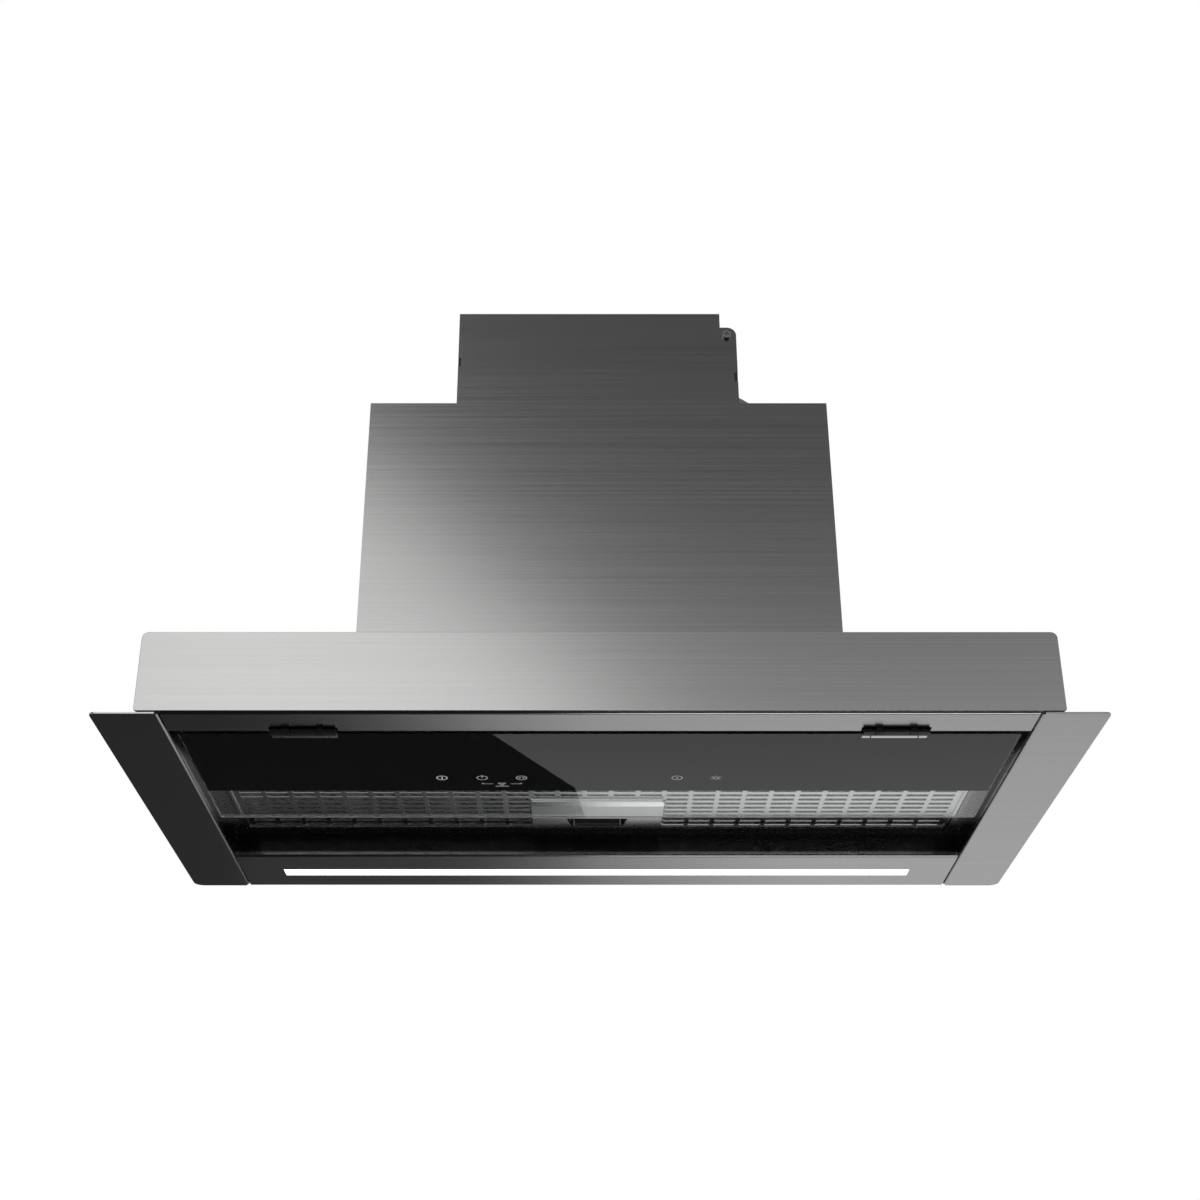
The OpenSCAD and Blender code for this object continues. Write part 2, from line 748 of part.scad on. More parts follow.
// Inlet ring: a flange on the cheek and a throat through it
module inlet_ring() translate([axis_x, 0, axis_z]) rotate([-90, 0, 0]) rotate_extrude()
    polygon([
        [inlet_r, 0], [inlet_r + ring_w, 0], [inlet_r + ring_w, ring_t],
        [inlet_r + ring_t, ring_t], [inlet_r + ring_t, 5.5], [inlet_r, 5.5]
    ]);
module inlet_ring_front() color(black) placed()
    translate([0, blower_front - ring_t, 0]) inlet_ring();
module inlet_ring_rear() color(black) placed()
    translate([0, blower_back + ring_t, 0]) mirror([0, 1, 0]) inlet_ring();

// Finger guard on the rear inlet: rings joined by three spokes
module inlet_guard() color(dark_steel) placed()
    along_y(blower_back + ring_t, blower_back + ring_t + guard_t)
    translate([axis_x, axis_z]) difference() {
        circle(inlet_r + 4);
        for (r = [15.5:14:43.5]) difference() {
            circle(r + 11.5);
            circle(r + 2.5);
            for (a = spider_angles) rotate(a) translate([r, -1.5]) square([14, 3]);
        }
        circle(15.5);
    }

// Impeller: two rows of blades either side of a middle disc
module impeller() color(black) placed() {
    y0 = blower_y - wheel_len / 2;
    y1 = blower_y + wheel_len / 2;
    tube_about_axis(y0, y0 + 2, wheel_r, wheel_r - 8);
    tube_about_axis(y1 - 2, y1, wheel_r, wheel_r - 8);
    difference() {
        union() {
            about_axis(blower_y - 1, blower_y + 1, wheel_r);
            about_axis(blower_y - 6, shaft_end, hub_r);
        }
        about_axis(blower_y - 7, shaft_end + over, shaft_r + 0.02);
    }
    translate([axis_x, y1, axis_z]) rotate([90, 0, 0]) linear_extrude(wheel_len)
        for (i = [0:blade_count - 1]) rotate(i * 360 / blade_count) polygon([
            [wheel_in, 0], [wheel_in + 6, 1.2], [wheel_r - 0.5, 4.6],
            [wheel_r - 0.7, 4.6 + blade_t], [wheel_in + 5.6, 1.2 + blade_t],
            [wheel_in, blade_t]
        ]);
}

// Motor shaft, rotor and the bushes that the shaft turns in
module motor_shaft() color(aluminium) placed()
    about_axis(motor_front + 1.5, shaft_end, shaft_r);
module motor_rotor() color(dark_steel) placed()
    tube_about_axis(stator_front, stator_back, rotor_r, shaft_r + 0.02);
module shaft_bushes() color([0.72, 0.55, 0.3]) placed()
    for (y = [motor_front, motor_back - bush_len])
        tube_about_axis(y, y + bush_len, shaft_r + shaft_gap + bush_t, shaft_r + shaft_gap);
module motor_stator() color([0.6, 0.34, 0.2]) placed()
    tube_about_axis(stator_front, stator_back, motor_r - can_t - 0.1, rotor_r + air_gap);

// Motor can and its front cap: cups that meet edge to edge
module motor_cap() color(steel) placed() difference() {
    about_axis(motor_front, motor_front + cap_len, motor_r);
    about_axis(motor_front + can_t, motor_front + cap_len + over, motor_r - can_t);
    about_axis(motor_front - over, motor_front + cap_len, shaft_r + shaft_gap + bush_t + 0.02);
}
module motor_can() color(steel) placed() difference() {
    about_axis(motor_front + cap_len, motor_back, motor_r);
    about_axis(motor_front + cap_len - over, motor_back - can_t, motor_r - can_t);
    about_axis(motor_back - 2 * can_t, motor_back + over, shaft_r + shaft_gap + bush_t + 0.02);
}

// Spider: a band round the can and three arms screwed to the front cheek
module motor_spider() color(dark_steel) placed() difference() {
    union() {
        tube_about_axis(arm_front - 6, arm_front + arm_t, motor_r + 4, motor_r + 0.1);
        for (a = spider_angles) translate([axis_x, arm_front, axis_z]) rotate([0, -a, 0]) {
            translate([motor_r + 2, 0, -arm_w / 2]) cube([spider_r + 4 - motor_r - 2, arm_t, arm_w]);
            translate([spider_r - 4.5, 0, -arm_w / 2])
                cube([8.5, blower_front - arm_front, arm_w]);
        }
    }
    for (a = spider_angles)
        translate([axis_x + spider_r * cos(a), blower_front + over, axis_z + spider_r * sin(a)])
        rotate([90, 0, 0]) cylinder(r = clear_r, h = 40, $fn = 32);
}

// Pan-head screws: a head with a cross slot and a plain shank
module pan_screw(length) {
    difference() {
        cylinder(r = head_r, h = head_h, $fn = 32);
        translate([-1.7, -0.4, head_h - 1]) cube([3.4, 0.8, 2]);
        translate([-0.4, -1.7, head_h - 1]) cube([0.8, 3.4, 2]);
    }
    translate([0, 0, -length]) cylinder(r = screw_r, h = length, $fn = 32);
}
module pan_screws() color([0.75, 0.75, 0.74]) placed() {
    translate([tab_screw_x, wall_front, tab_screw_z]) rotate([90, 0, 0]) pan_screw(6);
    for (a = spider_angles)
        translate([axis_x + spider_r * cos(a), arm_front, axis_z + spider_r * sin(a)])
        rotate([90, 0, 0]) pan_screw(blower_front - arm_front + 4);
    for (a = flange_angles)
        translate([spigot_x + spigot_screw_r * cos(a), blower_y + spigot_screw_r * sin(a),
            deck_top + spigot_flange_t]) pan_screw(spigot_flange_t + sheet_t + 0.4);
    for (s = [-1, 1], y = deck_screws)
        translate([s * box_screw_x, y, tray_h + sheet_t]) pan_screw(5);
    for (s = [-1, 1], y = top_screws) translate([s * box_screw_x, y, box_top]) pan_screw(5);
}

// Run capacitor and the clip that holds it to the box's side
module capacitor() color([0.88, 0.88, 0.86]) placed()
    translate([capacitor_x, capacitor_y, capacitor_z]) {
        cylinder(r = capacitor_r, h = capacitor_len);
        for (s = [-1, 1]) translate([s * 6, 0, capacitor_len]) cylinder(r = 2.5, h = 7);
    }
module capacitor_clip() color(dark_steel) placed() translate([0, capacitor_y, capacitor_z + 20])
    difference() {
        union() {
            translate([capacitor_x, 0, 0]) cylinder(r = capacitor_r + 1.3, h = 16);
            block(control_x, control_x + 5, -12, 12, 0, 16);
        }
        translate([capacitor_x, 0, -over]) cylinder(r = capacitor_r + 0.1, h = 18);
    }

// Control box on the motor box's left side, with four board posts, and its lid
module control_box() color([0.2, 0.2, 0.2]) placed() {
    difference() {
        block(control_x, lid_x, control_y, control_y + control_d,
            control_z, control_z + control_h);
        block(control_x + control_t, lid_x + over, control_y + control_t,
            control_y + control_d - control_t, control_z + control_t,
            control_z + control_h - control_t);
    }
    for (y = [post_inset, control_d - post_inset], z = [post_inset, control_h - post_inset])
        translate([control_x + control_t, control_y + y, control_z + z])
        rotate([0, 90, 0]) cylinder(r = 3, h = post_h);
}
module control_lid() color([0.24, 0.24, 0.24]) placed() {
    block(lid_x, lid_x + control_t, control_y, control_y + control_d, control_z,
        control_z + control_h);
    for (i = [0:4]) block(lid_x + control_t, lid_x + control_t + 1.2,
        control_y + control_d * (i + 1) / 6 - 2.5, control_y + control_d * (i + 1) / 6 + 2.5,
        control_z + rib_inset, control_z + control_h - rib_inset);
}

// Board on the posts, with a transformer, relays, a terminal block and capacitors
module power_board() color([0.1, 0.36, 0.2]) placed() {
    w = control_d - 2 * board_margin;
    h = control_h - 2 * board_margin;
    translate([board_x, control_y + board_margin, control_z + board_margin]) {
        block(0, board_t, 0, w, 0, h);
        block(board_t, board_t + transformer_h, 0.08 * w, 0.37 * w, 0.52 * h, 0.9 * h);
        for (i = [0:2]) block(board_t, board_t + relay_h, (0.46 + 0.16 * i) * w,
            (0.58 + 0.16 * i) * w, 0.6 * h, 0.88 * h);
        block(board_t, board_t + terminal_h, 0.08 * w, 0.6 * w, 0.07 * h, 0.24 * h);
        for (i = [0:1]) translate([board_t, (0.71 + 0.15 * i) * w, 0.26 * h])
            rotate([0, 90, 0]) cylinder(r = board_cap_r, h = board_cap_h);
    }
}

// Lead from the control box forwards and round to the motor, held at both ends
module motor_lead() color(black) placed() translate([lead_x, lead_y, axis_z]) {
    translate([0, lead_bend, 0]) rotate([-90, 0, 0])
        cylinder(r = lead_r, h = control_y - lead_y - lead_bend);
    translate([lead_bend, lead_bend, 0]) rotate(180) rotate_extrude(angle = 90)
        translate([lead_bend, 0]) circle(lead_r);
    translate([lead_bend, 0, 0]) rotate([0, 90, 0])
        cylinder(r = lead_r, h = axis_x - motor_r - lead_x - lead_bend);
}

// Gland in the motor box's top for the mains lead
module cable_gland() color(black) placed() translate([gland_x, gland_y, 0]) difference() {
    union() {
        translate([0, 0, top_z - 10]) cylinder(r = gland_thread_r, h = 10 + sheet_t);
        translate([0, 0, box_top]) cylinder(r = gland_thread_r + 4, h = 5, $fn = 6);
        translate([0, 0, box_top + 5]) cylinder(r = gland_thread_r + 2, h = 11);
        translate([0, 0, top_z - 5]) cylinder(r = gland_thread_r + 4, h = 5, $fn = 6);
    }
    translate([0, 0, top_z - 10 - over]) cylinder(r = gland_r, h = 40);
}

// Duct spigot with its flange and the ledge on which the flaps close
module outlet_collar() color([0.12, 0.12, 0.12]) placed() translate([spigot_x, blower_y, 0])
    difference() {
        union() {
            translate([0, 0, deck_top]) cylinder(r = spigot_flange_r, h = spigot_flange_t, $fn = 96);
            translate([0, 0, deck_top]) cylinder(r = spigot_r, h = spigot_h, $fn = 96);
        }
        translate([0, 0, ledge_top]) cylinder(r = spigot_in, h = spigot_h, $fn = 96);
        translate([0, 0, deck_top - over]) cylinder(r = spigot_in - 3, h = spigot_h, $fn = 96);
        for (a = flange_angles) hole_z(spigot_screw_r * cos(a), spigot_screw_r * sin(a),
            deck_top + spigot_flange_t / 2, clear_r);
        translate([0, 0, pivot_z]) rotate([0, 90, 0])
            cylinder(r = rod_r + 0.02, h = 2 * spigot_r - 1, center = true, $fn = 32);
    }

// Rod on which both flaps turn
module flap_rod() color(aluminium) placed() translate([spigot_x, blower_y, pivot_z])
    rotate([0, 90, 0]) cylinder(r = rod_r, h = 2 * spigot_r - 1.2, center = true, $fn = 32);

// Back-draught flap: half a disc with knuckles on the rod
module flap(knuckles) difference() {
    union() {
        intersection() {
            cylinder(r = flap_r, h = flap_t, center = true, $fn = 96);
            block(-spigot_r, spigot_r, flap_edge, spigot_r, -spigot_r, spigot_r);
        }
        for (x = knuckles) {
            translate([x, 0, 0]) rotate([0, 90, 0])
                cylinder(r = flap_knuckle_r, h = 12, center = true, $fn = 32);
            block(x - 6, x + 6, 0, flap_edge + 3, -flap_t / 2, flap_t / 2);
        }
    }
    rotate([0, 90, 0]) cylinder(r = rod_r + pin_gap, h = 2 * spigot_r, center = true, $fn = 32);
}
module flap_front() color([0.16, 0.16, 0.16]) placed()
    translate([spigot_x, blower_y, pivot_z]) mirror([0, 1, 0]) flap([-50, 10]);
module flap_rear() color([0.16, 0.16, 0.16]) placed()
    translate([spigot_x, blower_y, pivot_z]) flap([-10, 50]);

// Fixed half of a hinge: a base on the front strip and two knuckles in its notch
module hinge_base() color(black) placed() difference() {
    union() {
        block(hinge_x - hinge_w / 2, hinge_x + hinge_w / 2, notch_front - 17,
            notch_front - 0.4, sheet_t, base_top);
        for (s = [-1, 1]) {
            x = hinge_x + s * knuckle_x - knuckle_w / 2;
            block(x, x + knuckle_w, notch_front - 2, pin_y + 1.7, sheet_t + 0.2, base_top);
            along_x(x, x + knuckle_w) translate([pin_y, -pin_drop]) circle(knuckle_r, $fn = 48);
            block(x, x + knuckle_w, pin_y - 1.5, pin_y + 1.7, -pin_drop, base_top);
        }
    }
    along_x(hinge_x - hinge_w, hinge_x + hinge_w) translate([pin_y, -pin_drop])
        circle(pin_r + 0.02, $fn = 32);
}
module hinge_base_right() hinge_base();
module hinge_base_left() mirror([1, 0, 0]) hinge_base();

// Hinge pins
module hinge_pins() color(aluminium) placed() both_sides()
    along_x(hinge_x - hinge_w / 2, hinge_x + hinge_w / 2)
    translate([pin_y, -pin_drop]) circle(pin_r, $fn = 32);

// Moving half of a hinge: barrels between the knuckles, a block and a leaf on the clip
module hinge_arm() color(black) placed() difference() {
    union() {
        along_x(hinge_x - hinge_w / 2, hinge_x + hinge_w / 2)
            translate([pin_y, -pin_drop]) circle(barrel_r, $fn = 48);
        block(hinge_x - hinge_w / 2, hinge_x + hinge_w / 2, pin_y, web_y,
            -pin_drop - 1, -pin_drop + barrel_r - 0.1);
        block(hinge_x - hinge_w / 2, hinge_x + hinge_w / 2, web_y - leaf_t, web_y,
            -pin_drop, enamel_top);
    }
    along_x(hinge_x - hinge_w, hinge_x + hinge_w) translate([pin_y, -pin_drop])
        circle(pin_r + pin_gap, $fn = 32);
    for (s = [-1, 1]) {
        x = hinge_x + s * knuckle_x - knuckle_w / 2 - knuckle_gap;
        along_x(x, x + knuckle_w + 2 * knuckle_gap) translate([pin_y, -pin_drop])
            circle(knuckle_r + knuckle_gap, $fn = 48);
    }
}
module hinge_arm_right() hinge_arm();
module hinge_arm_left() mirror([1, 0, 0]) hinge_arm();

// Bright clip channels that grip the front edge of the glass
module glass_clips() color(aluminium) placed() both_sides() difference() {
    along_x(hinge_x - hinge_w / 2, hinge_x + hinge_w / 2) {
        translate([web_y, -clip_t]) square([clip_t, enamel_top + 2 * clip_t]);
        translate([web_y, -clip_t]) square([clip_t + clip_lip, clip_t]);
        translate([web_y, enamel_top]) square([clip_t + clip_top, clip_t]);
    }
    for (s = [-1, 1]) block(hinge_x + s * 14.3 - 0.3, hinge_x + s * 14.3 + 0.3,
        glass_y + 0.4, glass_y + clip_lip + over, -clip_t - over, 0);
}

// Glass of the swing-down panel and the enamel fired on its upper face
module glass_panel() color([0.55, 0.62, 0.6, 0.6]) placed()
    translate([-glass_w / 2, glass_y, 0]) linear_extrude(glass_t)
    rounded(glass_w, glass_d, [glass_r, glass_r, glass_r, glass_r]);
module enamel_layer() color(black) placed()
    translate([-glass_w / 2 + 0.5, glass_y + 0.5, glass_t])
    linear_extrude(enamel_t) rounded(glass_w - 1, enamel_d - 0.5, [2.5, 2.5, 0.1, 0.1]);

// Touch module bonded to the enamel behind the key symbols
module touch_module() color(black) placed() {
    y = glass_y + enamel_d - module_d - 4;
    translate([-module_shift - module_w / 2, y, enamel_top])
        linear_extrude(module_h - 1.5) rounded(module_w, module_d, [4, 4, 4, 4]);
    block(-module_shift - module_w / 2 + 8, -module_shift + module_w / 2 - 8, y + 6,
        y + module_d - 6, enamel_top + module_h - 1.5, enamel_top + module_h);
}

// Filter frame: a channel all round, with two tabs that hook over the ceiling
module filter_frame() color(aluminium) placed() {
    w = filter_w / 2;
    difference() {
        block(-w, w, filter_front, filter_back, recess_h, filter_top);
        block(-w + channel_t, w - channel_t, filter_front + channel_t,
            filter_back - channel_t, grille_z, filter_top - channel_t);
        block(-w + rim_w, w - rim_w, filter_front + rim_w, filter_back - rim_w,
            recess_h - over, grille_z + over);
        block(-w + 8, w - 8, filter_front + 8, filter_back - 8, grille_z, filter_top + over);
        block(-bolt_half - latch_gap, bolt_half + latch_gap, filter_back - 2,
            filter_back + over, latch_z - latch_gap / 2, latch_top + latch_gap);
    }
    for (s = [-1, 1]) block(s * 150 - tab_w / 2, s * 150 + tab_w / 2,
        filter_front - tab_reach, filter_front, ceiling_top, ceiling_top + channel_t);
}

// Lower sheet of the filter, slotted in columns and rows, cut out for the handle
module filter_grille() color(aluminium) placed()
    translate([0, 0, grille_z]) linear_extrude(grille_t) difference() {
        translate([-filter_w / 2 + channel_t, filter_front + channel_t])
            square([filter_w - 2 * channel_t, filter_d - 2 * channel_t]);
        translate([-handle_cut, handle_front - 0.3])
            square([2 * handle_cut, filter_back - handle_front]);
        for (i = [-slot_side:slot_side], k = [0:slot_rows - 1]) {
            y = slot_back - slot_d / 2 - k * slot_pitch_y;
            inside = abs(i) * slot_pitch_x - slot_w / 2 < handle_cut;
            if (!inside || y + slot_d / 2 < handle_front - 1)
                translate([i * slot_pitch_x - slot_w / 2, y - slot_d / 2])
                    square([slot_w, slot_d]);
        }
    }

// Layers of expanded mesh between the slotted sheet and the upper grid
module filter_mesh() color([0.66, 0.67, 0.67]) placed() for (i = [0:mesh_layers - 1])
    difference() {
        block(-filter_w / 2 + channel_t, filter_w / 2 - channel_t,
            filter_front + channel_t, filter_back - channel_t,
            mesh_z + (i + 0.5) * mesh_step - mesh_t / 2,
            mesh_z + (i + 0.5) * mesh_step + mesh_t / 2);
        block(-handle_cut, handle_cut, handle_front - 0.3, filter_back, mesh_z, grid_z);
    }

// Upper grid that keeps the mesh in
module filter_grid() color(aluminium) placed() translate([0, 0, grid_z])
    linear_extrude(grille_t) difference() {
        translate([-filter_w / 2 + channel_t, filter_front + channel_t])
            square([filter_w - 2 * channel_t, filter_d - 2 * channel_t]);
        for (i = [-3:3], k = [0:2])
            translate([i * (filter_w - 30) / 7 - 28, filter_front + 14 + k * (filter_d - 24) / 3])
                square([56, (filter_d - 24) / 3 - 8]);
    }

// Handle housing: a raised plate with the finger pocket, the latch guide and the
// spring chamber
module filter_handle() color(aluminium) placed() difference() {
    union() {
        intersection() {
            along_x(-handle_w / 2, handle_w / 2) polygon([
                [handle_front, recess_h], [handle_front + 2.4, handle_bottom],
                [handle_back, handle_bottom], [handle_back, handle_ceiling],
                [handle_front, handle_ceiling]
            ]);
            along_y(handle_front, handle_back) polygon([
                [-handle_w / 2, handle_ceiling], [-handle_w / 2, recess_h],
                [-handle_w / 2 + handle_side, handle_bottom],
                [handle_w / 2 - handle_side, handle_bottom],
                [handle_w / 2, recess_h], [handle_w / 2, handle_ceiling]
            ]);
            translate([-handle_w / 2, handle_front, handle_bottom])
                linear_extrude(handle_ceiling - handle_bottom)
                rounded(handle_w, handle_d, [handle_r, handle_r, 0.1, 0.1]);
        }
        block(-handle_w / 2, handle_w / 2, handle_back - over,
            filter_back - channel_t, grille_z, handle_ceiling);
    }
    translate([0, 0, handle_bottom - over]) linear_extrude(latch_top + latch_gap
        - handle_bottom + over) polygon([
        [-pocket_front, pocket_y], [pocket_front, pocket_y],
        [pocket_rear, pocket_back - 1.2], [pocket_rear - 1.6, pocket_back],
        [-pocket_rear + 1.6, pocket_back], [-pocket_rear, pocket_back - 1.2]
    ]);
    block(-latch_half - latch_gap, latch_half + latch_gap,
        latch_front - latch_travel - latch_gap, latch_back,
        latch_z - latch_gap / 2, latch_top + latch_gap);
    block(-bolt_half - latch_gap, bolt_half + latch_gap, pocket_back - over,
        filter_back, latch_z - latch_gap / 2, latch_top + latch_gap);
    translate([0, latch_front, spring_z]) rotate([90, 0, 0])
        cylinder(r = spring_r + 0.3, h = spring_len, $fn = 32);
}

// Latch: a slide with a finger tab in the pocket and a bolt over the ceiling
module latch_slide() color(black) placed() {
    block(-latch_half, latch_half, latch_front, latch_back, latch_z, latch_top);
    block(-bolt_half, bolt_half, latch_back - over, bolt_end, latch_z, latch_top);
    block(-latch_half, latch_half, latch_back - 3, latch_back, handle_bottom + 0.6, latch_z);
}

// Spring that pushes the bolt home, drawn as the tube that its turns fill
module latch_spring() color(aluminium) placed() difference() {
    translate([0, latch_front, spring_z]) rotate([90, 0, 0])
        cylinder(r = spring_r, h = spring_len, $fn = 32);
    translate([0, latch_front + over, spring_z]) rotate([90, 0, 0])
        cylinder(r = spring_r - 0.6, h = spring_len + 2 * over, $fn = 32);
}

front_fascia();
fascia_tape();
tray_body();
front_strip();
rear_light_bar();
side_plate_left();
side_plate_right();
inner_ceiling();
led_diffuser();
led_board();
led_channel();
led_driver();
chimney_front();
motor_box_body();
motor_box_top();
shroud_body();
edge_clips();
scroll_front();
scroll_rear();
inlet_ring_front();
inlet_ring_rear();
inlet_guard();
impeller();
motor_shaft();
motor_rotor();
motor_stator();
motor_cap();
motor_can();
shaft_bushes();
motor_spider();
pan_screws();
capacitor();
capacitor_clip();
control_box();
control_lid();
power_board();
motor_lead();
cable_gland();
outlet_collar();
flap_rod();
flap_front();
flap_rear();
hinge_base_left();
hinge_base_right();
hinge_pins();
glass_panel();
enamel_layer();
touch_module();
hinge_arm_left();
hinge_arm_right();
glass_clips();
filter_frame();
filter_grille();
filter_mesh();
filter_grid();
filter_handle();
latch_slide();
latch_spring();
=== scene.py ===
import json
import math

import bmesh
import bpy
from mathutils import Matrix, Vector


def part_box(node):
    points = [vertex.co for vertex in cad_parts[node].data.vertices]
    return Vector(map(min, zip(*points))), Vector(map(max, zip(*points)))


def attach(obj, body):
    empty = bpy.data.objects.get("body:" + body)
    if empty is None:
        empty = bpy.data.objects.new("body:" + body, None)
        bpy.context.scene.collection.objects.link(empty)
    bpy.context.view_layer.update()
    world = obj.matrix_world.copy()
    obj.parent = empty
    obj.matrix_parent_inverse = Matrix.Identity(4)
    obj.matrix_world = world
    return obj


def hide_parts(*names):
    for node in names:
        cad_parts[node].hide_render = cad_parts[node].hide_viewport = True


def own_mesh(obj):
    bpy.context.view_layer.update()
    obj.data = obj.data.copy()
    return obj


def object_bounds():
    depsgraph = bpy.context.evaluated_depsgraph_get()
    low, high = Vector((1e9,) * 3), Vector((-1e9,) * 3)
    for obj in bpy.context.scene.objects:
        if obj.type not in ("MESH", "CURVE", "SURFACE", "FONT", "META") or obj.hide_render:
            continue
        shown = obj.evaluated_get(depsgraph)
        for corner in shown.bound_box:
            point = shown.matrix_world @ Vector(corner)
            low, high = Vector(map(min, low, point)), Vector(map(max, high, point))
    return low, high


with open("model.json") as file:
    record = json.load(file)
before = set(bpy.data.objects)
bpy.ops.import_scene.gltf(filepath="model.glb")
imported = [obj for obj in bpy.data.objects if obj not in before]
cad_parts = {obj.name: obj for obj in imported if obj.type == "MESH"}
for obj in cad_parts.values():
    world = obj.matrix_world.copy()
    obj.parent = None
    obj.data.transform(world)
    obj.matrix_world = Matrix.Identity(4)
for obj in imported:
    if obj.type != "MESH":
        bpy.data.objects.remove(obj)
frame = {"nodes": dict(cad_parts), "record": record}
cad_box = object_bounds()

# Viewpoint
# The hood is seen from in front and from far below its underside, with the camera tilted up
# and turned to neither side. The lens and the tilt were worked out from its straight edges.
scene = bpy.context.scene
scene.view_settings.view_transform = "Standard"
viewpoint = bpy.data.objects.new("viewpoint", bpy.data.cameras.new("viewpoint"))
viewpoint.data.lens = 53.65
viewpoint.data.sensor_width = 36
viewpoint.data.shift_x = 0.0144
viewpoint.data.shift_y = 0.0007
viewpoint.data.clip_start = 0.02
viewpoint.location = (-0.0101, -1.1242, -0.4068)
viewpoint.rotation_euler = (math.radians(90 + 26.72), 0, 0)
scene.collection.objects.link(viewpoint)
scene.camera = viewpoint


# Studio
# A pale floor, a surround that is white to the camera and graded by height for all else, and
# soft lights above, in front and behind. Cards behind, in front and below show in reflections
# only. All places and levels were set to match the photograph.
FLOOR_Z = -0.6
CARD_Y = 0.838
FRONT_CARD_Y = -2.6
CARD_BELOW_Z = FLOOR_Z + 0.02
DARK_END = 0.09
SKY_LOW, SKY_HIGH = 0.008, 0.7
SKY_STOPS = ((0.5, 0.008), (0.51, 0.44), (0.68, 0.46), (0.70, 0.41), (0.714, 0.19),
             (0.73, 0.10), (0.755, 0.08), (0.85, 0.07), (0.91, 0.55))


def glow_material(name, strength, fade=None):
    """A black surface that glows evenly, or rises from dark to full between two X places."""
    material = bpy.data.materials.new(name)
    material.use_nodes = True
    nodes = material.node_tree.nodes
    shader = nodes["Principled BSDF"]
    shader.inputs["Base Color"].default_value = (0, 0, 0, 1)
    shader.inputs["Specular IOR Level"].default_value = 0
    shader.inputs["Emission Color"].default_value = (1, 1, 1, 1)
    shader.inputs["Emission Strength"].default_value = strength
    if fade:
        across = nodes.new("ShaderNodeSeparateXYZ")
        rise = nodes.new("ShaderNodeMapRange")
        rise.interpolation_type = "SMOOTHSTEP"
        rise.inputs["From Min"].default_value, rise.inputs["From Max"].default_value = fade
        rise.inputs["To Min"].default_value = DARK_END
        place = nodes.new("ShaderNodeTexCoord")
        links = material.node_tree.links
        links.new(place.outputs["Object"], across.inputs[0])
        links.new(across.outputs["X"], rise.inputs["Value"])
        links.new(rise.outputs["Result"], shader.inputs["Emission Color"])
    return material


def stage_card(name, corners, strength, fade=None):
    """A flat card that only shows in reflections."""
    mesh = bmesh.new()
    mesh.faces.new([mesh.verts.new(corner) for corner in corners])
    data = bpy.data.meshes.new(name)
    mesh.to_mesh(data)
    mesh.free()
    data.materials.append(glow_material(name, strength, fade))
    card = bpy.data.objects.new(name, data)
    scene.collection.objects.link(card)
    card.visible_camera = False
    card.visible_diffuse = False
    card.visible_shadow = False


def upright(y, *outline):
    """Corners of an upright card, from their X and Z."""
    return [(x, y, z) for x, z in outline]


stage_card("card_bright", upright(CARD_Y, (-0.411, -0.6), (-0.019, -0.329), (-0.006, -0.288),
                                  (1.9, -0.288), (1.9, -0.6)), 0.52)
stage_card("card_fading", upright(CARD_Y, (-0.4, -0.288), (-0.4, -0.12), (1.9, -0.12),
                                  (1.9, -0.288)), 0.57, fade=(-0.19, 0.29))
stage_card("card_dark", upright(CARD_Y + 0.01, (-2.6, -0.6), (-2.6, -0.05), (1.95, -0.05),
                                (1.95, -0.6)), 0.032)
stage_card("card_front", upright(FRONT_CARD_Y, (0.06, 0.9), (-0.02, 1.14), (-0.135, 1.26),
                                 (-0.44, 1.575), (-0.9, 1.95), (-1.25, 1.95), (-1.25, 0.5),
                                 (0.15, 0.5)), 1.15)
stage_card("card_below", [(x, y, CARD_BELOW_Z) for x, y in
                          ((0, -0.35), (1.6, -0.35), (1.6, 0.15), (0, 0.15))], 1.0)

floor_mesh = bmesh.new()
bmesh.ops.create_grid(floor_mesh, x_segments=1, y_segments=1, size=6)
bmesh.ops.translate(floor_mesh, verts=floor_mesh.verts, vec=(0, 0, FLOOR_Z))
floor_data = bpy.data.meshes.new("floor")
floor_mesh.to_mesh(floor_data)
floor_mesh.free()
floor_paint = bpy.data.materials.new("floor")
floor_paint.use_nodes = True
floor_shader = floor_paint.node_tree.nodes["Principled BSDF"]
floor_shader.inputs["Base Color"].default_value = (0.8, 0.8, 0.79, 1)
floor_shader.inputs["Roughness"].default_value = 0.7
floor_data.materials.append(floor_paint)
floor = bpy.data.objects.new("floor", floor_data)
scene.collection.objects.link(floor)
floor.visible_glossy = False


def soft_light(name, place, target, width, height, watts):
    """A rectangular lamp aimed at a target, hidden from the camera and from reflections."""
    light = bpy.data.lights.new(name, "AREA")
    light.shape = "RECTANGLE"
    light.size = width
    light.size_y = height
    light.energy = watts
    lamp = bpy.data.objects.new(name, light)
    lamp.location = place
    lamp.rotation_euler = (Vector(target) - Vector(place)).to_track_quat("-Z", "Y").to_euler()
    lamp.visible_camera = False
    lamp.visible_glossy = False
    scene.collection.objects.link(lamp)


soft_light("light_above", (0, 0.1, 2.4), (0, 0, 0), 2.6, 1.8, 34)
soft_light("light_front_left", (-1.7, -2.3, 1.2), (0, 0, 0.1), 1.6, 1.2, 30)
soft_light("light_behind", (1.9, 2.4, 1.3), (0, 0, 0.1), 1.6, 1.4, 24)

